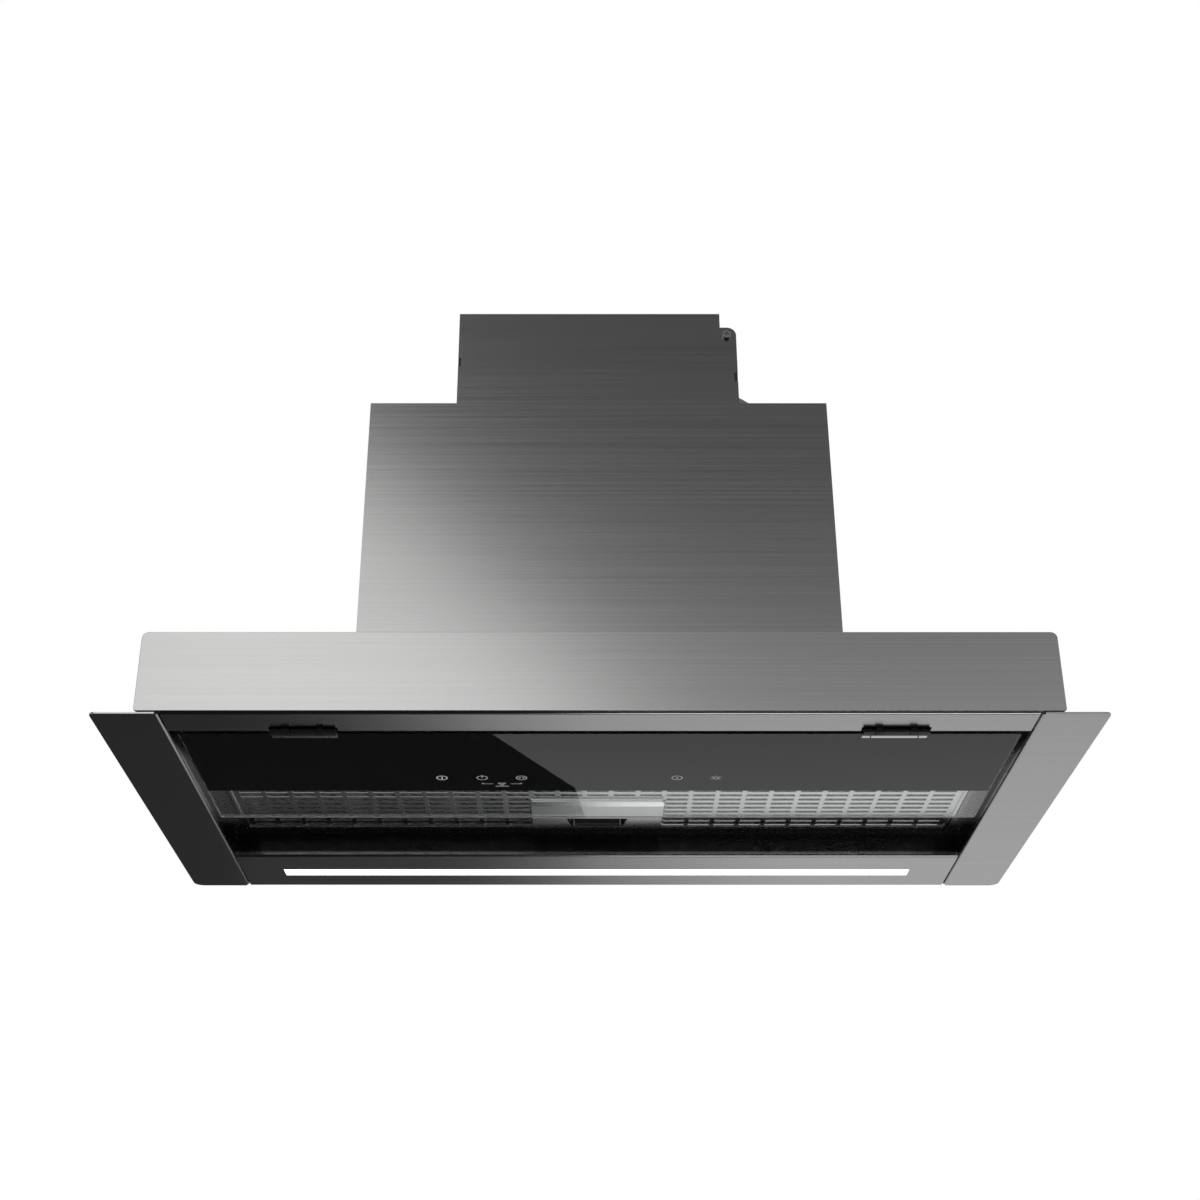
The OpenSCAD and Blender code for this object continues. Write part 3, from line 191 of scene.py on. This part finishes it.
surround = bpy.data.worlds.new("surround")
surround.use_nodes = True
scene.world = surround
tree = surround.node_tree
light_path = tree.nodes.new("ShaderNodeLightPath")
direction = tree.nodes.new("ShaderNodeTexCoord")
height = tree.nodes.new("ShaderNodeSeparateXYZ")
level = tree.nodes.new("ShaderNodeMapRange")
level.inputs["From Min"].default_value = -1
sky = tree.nodes.new("ShaderNodeValToRGB")
for stop, grey in SKY_STOPS:
    sky.color_ramp.elements.new(stop).color = (grey, grey, grey, 1)
sky.color_ramp.elements[0].color = (SKY_LOW, SKY_LOW, SKY_LOW, 1)
sky.color_ramp.elements[-1].color = (SKY_HIGH, SKY_HIGH, SKY_HIGH, 1)
seen = tree.nodes.new("ShaderNodeMix")
seen.data_type = "RGBA"
seen.inputs["B"].default_value = (1, 1, 1, 1)
tree.links.new(direction.outputs["Generated"], height.inputs[0])
tree.links.new(height.outputs["Z"], level.inputs["Value"])
tree.links.new(level.outputs["Result"], sky.inputs[0])
tree.links.new(light_path.outputs["Is Camera Ray"], seen.inputs["Factor"])
sideways = tree.nodes.new("ShaderNodeMath")
sideways.operation = "ABSOLUTE"
side_light = tree.nodes.new("ShaderNodeMapRange")
side_light.interpolation_type = "SMOOTHSTEP"
side_light.inputs["From Min"].default_value = 0.6
side_light.inputs["From Max"].default_value = 0.85
side_light.inputs["To Max"].default_value = 0.3
brighter = tree.nodes.new("ShaderNodeMix")
brighter.data_type = "RGBA"
brighter.blend_type = "LIGHTEN"
brighter.inputs["Factor"].default_value = 1
tree.links.new(height.outputs["X"], sideways.inputs[0])
tree.links.new(sideways.outputs["Value"], side_light.inputs["Value"])
tree.links.new(sky.outputs["Color"], brighter.inputs["A"])
tree.links.new(side_light.outputs["Result"], brighter.inputs["B"])
tree.links.new(brighter.outputs["Result"], seen.inputs["A"])
tree.links.new(seen.outputs["Result"], tree.nodes["Background"].inputs["Color"])


# Fascia
# A flat plate of brushed stainless steel, 1.2 mm thick, with its upper corners rounded and its
# edges eased. Two rows of black foam tape hold it to the front wall of the tray.
BODY_OF = {node: body for body, nodes in frame["record"]["behaviour"]["bodies"].items()
           for node in nodes}
CREASE = math.radians(26)
SHARP = math.radians(28)
FLAT = math.radians(0.4)
SAME_PLACE = 0.000002
SAME_LEVEL = 0.00001
BRUSH_DEPTH = 0.000012
STEEL = (0.60, 0.60, 0.595)


class Value:
    """A socket's value, which Python's operators turn into Math nodes."""

    def __init__(self, finish, socket):
        self.finish = finish
        self.socket = socket

    def maths(self, operation, *pair):
        return self.finish.add("ShaderNodeMath", {"operation": operation}, dict(enumerate(pair)))

    def __add__(self, other):
        return self.maths("ADD", self, other)

    def __sub__(self, other):
        return self.maths("SUBTRACT", self, other)

    def __mul__(self, other):
        return self.maths("MULTIPLY", self, other)

    def __truediv__(self, other):
        return self.maths("DIVIDE", self, other)

    def __gt__(self, other):
        return self.maths("GREATER_THAN", self, other)

    def __lt__(self, other):
        return self.maths("LESS_THAN", self, other)

    def __rsub__(self, other):
        return self.maths("SUBTRACT", other, self)

    def __rtruediv__(self, other):
        return self.maths("DIVIDE", other, self)

    __radd__ = __add__
    __rmul__ = __mul__

    def size(self):
        return self.maths("ABSOLUTE", self)

    def clamped(self):
        return self.finish.add("ShaderNodeClamp", {}, {"Value": self})


class Finish:
    """One procedural material on a Principled shader."""

    def __init__(self, name, **constants):
        self.material = bpy.data.materials.new(name)
        self.material.use_nodes = True
        self.tree = self.material.node_tree
        self.shader = self.tree.nodes["Principled BSDF"]
        for socket, value in constants.items():
            self.plug(self.shader, socket.replace("_", " "), value)

    def plug(self, node, socket, value):
        target = node.inputs[socket]
        if isinstance(value, Value):
            self.tree.links.new(value.socket, target)
        elif isinstance(value, tuple) and len(value) == 3 and target.type == "RGBA":
            target.default_value = (*value, 1)
        else:
            target.default_value = value

    def add(self, kind, settings, sockets, output=0):
        node = self.tree.nodes.new(kind)
        for setting, value in settings.items():
            if setting == "stops":
                ramp = node.color_ramp.elements
                while len(ramp) < len(value):
                    ramp.new(0.5)
                for stop, (position, colour) in zip(ramp, value):
                    stop.position = position
                    stop.color = (*colour, 1)
            else:
                setattr(node, setting, value)
        for socket, value in sockets.items():
            self.plug(node, socket, value)
        return Value(self, node.outputs[output])

    def place(self, scale):
        """Object coordinates in metres, scaled."""
        object_place = self.add("ShaderNodeTexCoord", {}, {}, "Object")
        return self.add("ShaderNodeMapping", {"vector_type": "POINT"},
                        {"Vector": object_place, "Scale": scale})

    def axis(self, letter):
        object_place = self.add("ShaderNodeTexCoord", {}, {}, "Object")
        return self.add("ShaderNodeSeparateXYZ", {}, {0: object_place}, letter)

    def noise(self, place, detail=2.0):
        return self.add("ShaderNodeTexNoise", {}, {"Vector": place, "Scale": 1.0, "Detail": detail,
                                                   "Roughness": 0.5})

    def mixed(self, factor, low, high):
        return self.add("ShaderNodeMix", {"data_type": "RGBA"}, {0: factor, 6: low, 7: high}, 2)

    def colour(self, value):
        self.base = value
        self.plug(self.shader, "Base Color", value)

    def rough(self, value):
        self.plug(self.shader, "Roughness", value)

    def bump(self, height, distance):
        normal = self.add("ShaderNodeBump", {}, {"Height": height, "Distance": distance,
                                                 "Strength": 1.0}, "Normal")
        self.plug(self.shader, "Normal", normal)


def shade(colour, factor):
    """A colour made darker or lighter."""
    return tuple(channel * factor for channel in colour)


def brushed_finish(name, colour, roughness):
    """Metal with fine brush lines along X and a few longer scratches."""
    finish = Finish(name, Metallic=1.0)
    lines = finish.noise(finish.place((5, 1500, 1500)), detail=3)
    streaks = finish.noise(finish.place((1.3, 420, 420)), detail=2)
    patches = finish.noise(finish.place((3, 3, 3)), detail=2)
    tone = (lines * 0.5 + streaks * 0.35 + patches * 0.15).clamped()
    finish.colour(finish.mixed(tone, shade(colour, 0.85), shade(colour, 1.15)))
    finish.rough(roughness + (lines - 0.5) * 0.08 + (patches - 0.5) * 0.03)
    finish.bump(lines * 0.7 + streaks * 0.3, BRUSH_DEPTH)
    return finish


def settle(name, mesh, finish, body, stands_for=()):
    """Makes a bmesh a piece that rides on a body, soft between its creases."""
    for edge in mesh.edges:
        edge.smooth = edge.is_manifold and edge.calc_face_angle(0) < CREASE
    for face in mesh.faces:
        face.smooth = True
    data = bpy.data.meshes.new(name)
    mesh.to_mesh(data)
    mesh.free()
    data.materials.append(finish.material)
    piece = bpy.data.objects.new(name, data)
    scene.collection.objects.link(piece)
    even = piece.modifiers.new("even_faces", "WEIGHTED_NORMAL")
    even.keep_sharp = True
    even.weight = 100
    if stands_for:
        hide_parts(*stands_for)
    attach(piece, body)
    return piece


def eased(node, finish, edge=0.0003, segments=2, flatten=True, sunk=0.0):
    """A copy of a CAD node whose sharp edges are eased, in its place, with its underside sunk."""
    mesh = bmesh.new()
    mesh.from_mesh(frame["nodes"][node].data)
    underside = min(v.co.z for v in mesh.verts) + SAME_LEVEL
    bmesh.ops.translate(mesh, verts=[v for v in mesh.verts if v.co.z < underside],
                        vec=(0, 0, -sunk))
    bmesh.ops.remove_doubles(mesh, verts=mesh.verts, dist=SAME_PLACE)
    if flatten:
        bmesh.ops.dissolve_limit(mesh, angle_limit=FLAT, verts=mesh.verts, edges=mesh.edges)
    sharp = [e for e in mesh.edges if e.is_manifold and e.calc_face_angle(0) > SHARP]
    bmesh.ops.bevel(mesh, geom=sharp, offset=edge, offset_type="OFFSET", segments=segments,
                    profile=0.5, material=-1, affect="EDGES", clamp_overlap=True)
    return settle(node + "_eased", mesh, finish, BODY_OF[node], [node])


def coated(node, finish):
    """Gives a CAD node that keeps its shape its finish."""
    data = frame["nodes"][node].data
    data.materials.clear()
    data.materials.append(finish.material)


face_steel = brushed_finish("face_steel", STEEL, 0.22)
eased("front_fascia", face_steel, 0.00035)

foam = Finish("foam", Roughness=0.9)
foam_cells = foam.add("ShaderNodeTexVoronoi", {}, {"Vector": foam.place((1200, 1200, 1200))})
foam.colour(foam.mixed(foam_cells, (0.012, 0.012, 0.012), (0.045, 0.045, 0.045)))
foam.bump(foam_cells, 0.0002)
coated("fascia_tape", foam)

# Underside
# Four strips of the same steel frame the recess: a front strip, a rear bar with the light
# window, and two side plates, each folded up along its inner edge. Above the fold the flanges
# carry painted shade, near black, which the real sheet isn't, to match the photograph's dark
# recess.
FOLD_TOP = cad_box[0].z + 0.0062
FOLD_FADE = 0.002
FLANGE_PAINTED_SHADE = (0.09, 0.09, 0.09)
under_steel = brushed_finish("under_steel", STEEL, 0.215)
# Painted shade: above the fold this mask mixes the steel's colour to near black.
painted_shade_above_fold = ((under_steel.axis("Z") - FOLD_TOP) / FOLD_FADE).clamped()
under_steel.colour(under_steel.mixed(painted_shade_above_fold, under_steel.base, FLANGE_PAINTED_SHADE))
for node in ("front_strip", "rear_light_bar", "side_plate_left", "side_plate_right"):
    eased(node, under_steel, 0.00025)

# Tray and ceiling
# The tray is a shallow box of plain zinc-coated sheet that carries everything else, and the
# ceiling closes the recess above the strips. Both keep the grey, faintly mottled mill surface.


def sheet_finish(name, colour, roughness):
    """Zinc-coated sheet with soft crystals and a slight orange peel."""
    finish = Finish(name, Metallic=1.0)
    crystals = finish.add("ShaderNodeTexVoronoi", {"feature": "SMOOTH_F1"},
                          {"Vector": finish.place((90, 90, 90)), "Smoothness": 0.6})
    cloud = finish.noise(finish.place((14, 14, 14)), detail=4)
    tone = (crystals * 0.6 + cloud * 0.4).clamped()
    finish.colour(finish.mixed(tone, shade(colour, 0.85), shade(colour, 1.12)))
    finish.rough(roughness + (tone - 0.5) * 0.14)
    finish.bump(cloud, 0.00008)
    return finish


tray_sheet = sheet_finish("tray_sheet", (0.42, 0.42, 0.42), 0.42)
eased("tray_body", tray_sheet, 0.0003)
ceiling_sheet = sheet_finish("ceiling_sheet", (0.45, 0.45, 0.445), 0.28)
eased("inner_ceiling", ceiling_sheet, 0.00025)

# Light
# A row of diodes shines down through a frosted insert that sits flush in the rear bar. Above it
# lie the aluminium channel, the white board and the driver with its two screw tabs.
DIODE_PITCH = 0.0098
window = Finish("light_window", Base_Color=(0.95, 0.95, 0.93), Roughness=0.5,
                Emission_Strength=1.6)
along = window.axis("X")
dots = window.add("ShaderNodeMath", {"operation": "COSINE"},
                  {0: along * (2 * math.pi / DIODE_PITCH)})
window.plug(window.shader, "Emission Color",
            window.mixed((dots * 0.5 + 0.5).clamped(), (0.93, 0.93, 0.91), (1.0, 1.0, 0.985)))
eased("led_diffuser", window, 0.0002)
light_metal = sheet_finish("light_metal", (0.6, 0.61, 0.62), 0.36)
eased("led_channel", light_metal, 0.0003)
white_board = Finish("white_board", Roughness=0.45)
white_board.colour(white_board.mixed(white_board.noise(white_board.place((60, 60, 60))),
                                     (0.78, 0.78, 0.74), (0.86, 0.86, 0.83)))
coated("led_board", white_board)
moulded_white = Finish("moulded_white", Roughness=0.42)
white_grain = moulded_white.noise(moulded_white.place((900, 900, 900)), detail=2)
moulded_white.colour(moulded_white.mixed(white_grain, (0.72, 0.72, 0.7), (0.78, 0.78, 0.76)))
moulded_white.bump(white_grain, 0.00004)
eased("led_driver", moulded_white, 0.0006)

# Motor box
# The box that holds the blower is closed in front by one brushed sheet, which also makes the
# front of the duct shroud. Its other walls are folded sheet with inner flanges and screws.
# Painted shade: the box front is the fascia's brushed steel with its colour made a tenth darker.
shaded_box_steel = brushed_finish("shaded_box_steel", shade(STEEL, 0.9), 0.21)
eased("chimney_front", shaded_box_steel, 0.0003)
side_steel = sheet_finish("side_steel", (0.5, 0.5, 0.5), 0.36)
for node in ("motor_box_body", "motor_box_top", "shroud_body"):
    eased(node, side_steel, 0.0003)

moulded_black = Finish("moulded_black", Roughness=0.5)
black_grain = moulded_black.noise(moulded_black.place((1100, 1100, 1100)), detail=2)
moulded_black.colour(moulded_black.mixed(black_grain, (0.012, 0.012, 0.012),
                                         (0.028, 0.028, 0.028)))
moulded_black.rough(0.42 + black_grain * 0.2)
moulded_black.bump(black_grain, 0.00005)
eased("edge_clips", moulded_black, 0.0002)

screw_steel = Finish("screw_steel", Metallic=1.0)
turned = screw_steel.noise(screw_steel.place((700, 700, 700)), detail=2)
screw_steel.colour(screw_steel.mixed(turned, (0.42, 0.42, 0.41), (0.56, 0.56, 0.55)))
screw_steel.rough(0.26 + turned * 0.16)
eased("pan_screws", screw_steel, 0.0004, 3)

# Blower and motor
# Inside the box a double-inlet impeller of black nylon turns in a scroll of zinc-coated sheet.
# Its capacitor motor hangs in the front inlet on a three-arm spider.
zinc = sheet_finish("zinc", (0.46, 0.47, 0.48), 0.38)
for node in ("scroll_front", "scroll_rear"):
    eased(node, zinc, 0.0003)
for node in ("inlet_guard", "motor_spider", "capacitor_clip", "motor_cap", "motor_can"):
    eased(node, zinc, 0.0003)
coated("motor_rotor", zinc)
for node in ("inlet_ring_front", "inlet_ring_rear", "impeller"):
    coated(node, moulded_black)
coated("motor_shaft", screw_steel)
winding = Finish("winding", Metallic=0.6, Roughness=0.35)
turns = winding.noise(winding.place((900, 60, 900)), detail=2)
winding.colour(winding.mixed(turns, (0.30, 0.12, 0.05), (0.55, 0.26, 0.11)))
winding.bump(turns, 0.0003)
coated("motor_stator", winding)
sintered = Finish("sintered", Metallic=1.0)
pores = sintered.noise(sintered.place((1500, 1500, 1500)), detail=3)
sintered.colour(sintered.mixed(pores, (0.30, 0.20, 0.09), (0.52, 0.37, 0.19)))
sintered.rough(0.35 + pores * 0.25)
coated("shaft_bushes", sintered)

# Electrics
# The control box is moulded in black with a ribbed lid and holds the power board. The white
# capacitor is clipped to the wall, and one sheathed lead runs from the board to the motor.
eased("capacitor", moulded_white, 0.0008)
for node in ("control_box", "control_lid", "cable_gland"):
    eased(node, moulded_black, 0.0005)
board = Finish("power_board", Roughness=0.35)
tracks = board.add("ShaderNodeTexBrick", {}, {"Vector": board.place((160, 160, 160)), "Scale": 1.0,
                                              "Mortar Size": 0.08,
                                              "Color1": (0.02, 0.16, 0.06),
                                              "Color2": (0.03, 0.2, 0.08),
                                              "Mortar": (0.06, 0.3, 0.13)})
board.colour(tracks)
eased("power_board", board, 0.0003)
sheath = Finish("sheath", Roughness=0.5)
sheath_grain = sheath.noise(sheath.place((500, 500, 500)), detail=2)
sheath.colour(sheath.mixed(sheath_grain, (0.012, 0.012, 0.012), (0.022, 0.022, 0.022)))
sheath.bump(sheath_grain, 0.00006)
coated("motor_lead", sheath)

# Duct spigot
# A black moulded ring screwed to the duct deck. Two half-disc flaps on one steel rod keep
# cold air out and lift when the blower runs.
for node in ("outlet_collar", "flap_front", "flap_rear"):
    eased(node, moulded_black, 0.0005)
coated("flap_rod", screw_steel)

# Panel hinges
# Each hinge has a black coated base in a notch of the front strip, a steel pin, black barrels
# and a bright clip that grips the edge of the glass.
hinge_paint = Finish("hinge_paint", Roughness=0.38)
paint_peel = hinge_paint.noise(hinge_paint.place((400, 400, 400)), detail=2)
hinge_paint.colour(hinge_paint.mixed(paint_peel, (0.006, 0.006, 0.006), (0.014, 0.014, 0.014)))
hinge_paint.bump(paint_peel, 0.00004)
for node in ("hinge_base_left", "hinge_base_right", "hinge_arm_left", "hinge_arm_right"):
    eased(node, hinge_paint, 0.0003)
coated("hinge_pins", screw_steel)
clip_steel = brushed_finish("clip_steel", (0.86, 0.86, 0.85), 0.2)
eased("glass_clips", clip_steel, 0.0002)

# Glass panel
# The panel is 4 mm safety glass with ground edges. Black enamel is fired on the inside of its
# front two thirds, and the touch module is bonded above it. The glass has no specular tint, so
# it reflects less than real glass, to match the photograph.
GROUND = 0.0007
glass_low, glass_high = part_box("glass_panel")
glass = Finish("glass", Base_Color=(0.975, 0.992, 0.985), IOR=1.5, Transmission_Weight=1.0,
               Specular_Tint=(0, 0, 0))
glass_x, glass_y = glass.axis("X"), glass.axis("Y")
glass_edge = ((glass_x.size() > glass_high.x - GROUND) + (glass_y > glass_high.y - GROUND)
              + (glass_y < glass_low.y + GROUND))
glass.rough(glass_edge.clamped() * 0.45)
eased("glass_panel", glass, 0.0006)
enamel = Finish("enamel", Roughness=0.3, Specular_IOR_Level=0.0)
speck = enamel.noise(enamel.place((300, 300, 300)), detail=2)
enamel.colour(enamel.mixed(speck, (0.003, 0.003, 0.003), (0.006, 0.006, 0.006)))
eased("enamel_layer", enamel, 0.00002, 1, sunk=0.00004)
eased("touch_module", moulded_black, 0.0006)

# Key symbols
# The symbols are printed in pale grey on the underside of the glass, below the touch module:
# four rings about 7 mm across, with a stroke inside, a stroke across the edge, two dots or an
# eye, then a small ring with eight rays, and a fan with one bar behind it and one on each side.
ink = Finish("ink", Roughness=0.6)
ink_edge = ink.noise(ink.place((1500, 1500, 1500)), detail=2)
first_key = ink.axis("X") < -0.09
ink.colour(ink.mixed(first_key, (0.62, 0.62, 0.62), (0.95, 0.95, 0.95)))
ink.rough(0.5 + ink_edge * 0.2)
INK_DEPTH = 0.00004
LINE = 0.00055
KEY_RADIUS = 0.0033
ARC_STEPS = 28
LIGHT_KEY_X = 0.0746
KEY_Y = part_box("enamel_layer")[1].y - 0.0263
symbols = bmesh.new()


def stroke(x, y, width, depth, turn=0.0):
    """A straight printed line about a centre."""
    matrix = (Matrix.Translation((x, y, glass_low.z - INK_DEPTH / 2))
              @ Matrix.Rotation(turn, 4, "Z")
              @ Matrix.Diagonal((width, depth, INK_DEPTH, 1)))
    bmesh.ops.create_cube(symbols, size=1, matrix=matrix)


def ring(x, y, radius, line=LINE):
    """A printed ring about a centre."""
    matrix = (Matrix.Translation((x + radius, y, glass_low.z - INK_DEPTH / 2))
              @ Matrix.Diagonal((line, INK_DEPTH, INK_DEPTH, 1)))
    section = [symbols.verts.new(matrix @ Vector(corner)) for corner in
               ((-0.5, 0, -0.5), (0.5, 0, -0.5), (0.5, 0, 0.5), (-0.5, 0, 0.5))]
    face = symbols.faces.new(section)
    bmesh.ops.spin(symbols, geom=face.edges[:], cent=(x, y, 0), axis=(0, 0, 1),
                   angle=2 * math.pi, steps=ARC_STEPS, use_merge=True)
    symbols.faces.remove(face)


for key_x in (-0.0995, -0.0740, -0.0490, 0.0499):
    ring(key_x, KEY_Y, KEY_RADIUS)
stroke(-0.0995, KEY_Y, 0.0007, 0.0036)
stroke(-0.0740, KEY_Y - 0.0024, LINE, 0.0042)
for side in (-1, 1):
    ring(-0.0490 + side * 0.0012, KEY_Y, 0.0005, 0.0006)
ring(0.0499, KEY_Y, 0.0006, 0.0006)
ring(LIGHT_KEY_X, KEY_Y, 0.0018)
for ray in range(8):
    angle = ray * math.pi / 4
    stroke(LIGHT_KEY_X + 0.0034 * math.cos(angle), KEY_Y + 0.0034 * math.sin(angle),
           0.0009, 0.0005, angle)
FAN_X = -0.0618
FAN_Y = KEY_Y + 0.0105
for blade in range(3):
    angle = blade * 2 * math.pi / 3 + math.pi / 2
    ring(FAN_X + 0.0016 * math.cos(angle), FAN_Y + 0.0016 * math.sin(angle), 0.0009, 0.0005)
stroke(FAN_X, FAN_Y + 0.0042, 0.0086, 0.0008)
for side in (-1, 1):
    stroke(FAN_X + side * 0.0088, FAN_Y, 0.0062, 0.0005)
    ring(FAN_X + side * 0.0122, FAN_Y - 0.0006, 0.0004, 0.0006)
bmesh.ops.recalc_face_normals(symbols, faces=symbols.faces)
settle("key_symbols", symbols, ink, "panel")

# Grease filter
# An aluminium cassette: a channel frame round a slotted sheet, layers of expanded mesh and an
# upper grid. The handle is die cast and clear coated, with a finger pocket and a black latch.
filter_metal = brushed_finish("filter_metal", (0.93, 0.94, 0.94), 0.2)
eased("filter_frame", filter_metal, 0.0003)
eased("filter_grille", filter_metal, 0.00015, 1, flatten=False)
eased("filter_grid", filter_metal, 0.0002, 1)
eased("filter_handle", filter_metal, 0.0005, 3)
eased("latch_slide", moulded_black, 0.0004)

# Painted shade: the mesh layers are the filter's aluminium made darker for the shade behind the
# slotted sheet.
shaded_weave_metal = brushed_finish("shaded_weave_metal", (0.78, 0.78, 0.78), 0.4)
STRAND = 0.0005
mesh_low, mesh_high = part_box("filter_mesh")


def repeated(mesh, count, step):
    """Copies all that a mesh holds, count times in all, each a step further."""
    first = mesh.verts[:] + mesh.edges[:] + mesh.faces[:]
    for i in range(1, count):
        copy = bmesh.ops.duplicate(mesh, geom=first)["geom"]
        bmesh.ops.translate(mesh, verts=[v for v in copy if isinstance(v, bmesh.types.BMVert)],
                            vec=Vector(step) * i)


def expanded_sheet(name, z, cell_x, cell_y, stands_for=()):
    """One layer of expanded metal: diamonds of crossing strands."""
    columns = int((mesh_high.x - mesh_low.x) / cell_x)
    rows = int((mesh_high.y - mesh_low.y) / cell_y)
    left = (mesh_low.x + mesh_high.x - (columns - 1) * cell_x) / 2
    front = (mesh_low.y + mesh_high.y - (rows - 1) * cell_y) / 2
    mesh = bmesh.new()
    for side in (-1, 1):
        bar = (Matrix.Translation((left, front, z + side * STRAND * 0.3))
               @ Matrix.Rotation(side * math.atan2(cell_y, cell_x), 4, "Z")
               @ Matrix.Diagonal((math.hypot(cell_x, cell_y), STRAND, STRAND, 1)))
        bmesh.ops.create_cube(mesh, size=1, matrix=bar)
    repeated(mesh, columns, (cell_x, 0, 0))
    repeated(mesh, rows, (0, cell_y, 0))
    settle(name, mesh, shaded_weave_metal, "body", stands_for)


expanded_sheet("filter_weave_lower", mesh_low.z + 0.001, 0.008, 0.0055, ["filter_mesh"])
expanded_sheet("filter_weave_upper", mesh_high.z - 0.0015, 0.011, 0.0075)

# Latch spring
# A compression spring of bright wire pushes the latch bolt home. On the real latch it shortens
# by the bolt's travel as the bolt is drawn back; this coil is built at one length.
spring_low, spring_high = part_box("latch_spring")
WIRE = 0.0003
TURNS = 9
STEPS = TURNS * 16
spring = bmesh.new()
spring_middle = (spring_low + spring_high) / 2
coil_radius = (spring_high.x - spring_low.x) / 2 - WIRE
bmesh.ops.create_circle(spring, cap_ends=True, segments=8, radius=WIRE,
                        matrix=Matrix.Translation((spring_middle.x + coil_radius,
                                                   spring_low.y + WIRE, spring_middle.z)))
coil_length = spring_high.y - spring_low.y - 2 * WIRE
bmesh.ops.spin(spring, geom=spring.faces[:],
               cent=(spring_middle.x, spring_low.y, spring_middle.z),
               axis=(0, 1, 0), dvec=(0, coil_length / STEPS, 0), angle=2 * math.pi * TURNS,
               steps=STEPS, use_merge=False)
bmesh.ops.recalc_face_normals(spring, faces=spring.faces)
spring_wire = settle("latch_spring_wire", spring, screw_steel, "body",
                     ["latch_spring"])
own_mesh(spring_wire)
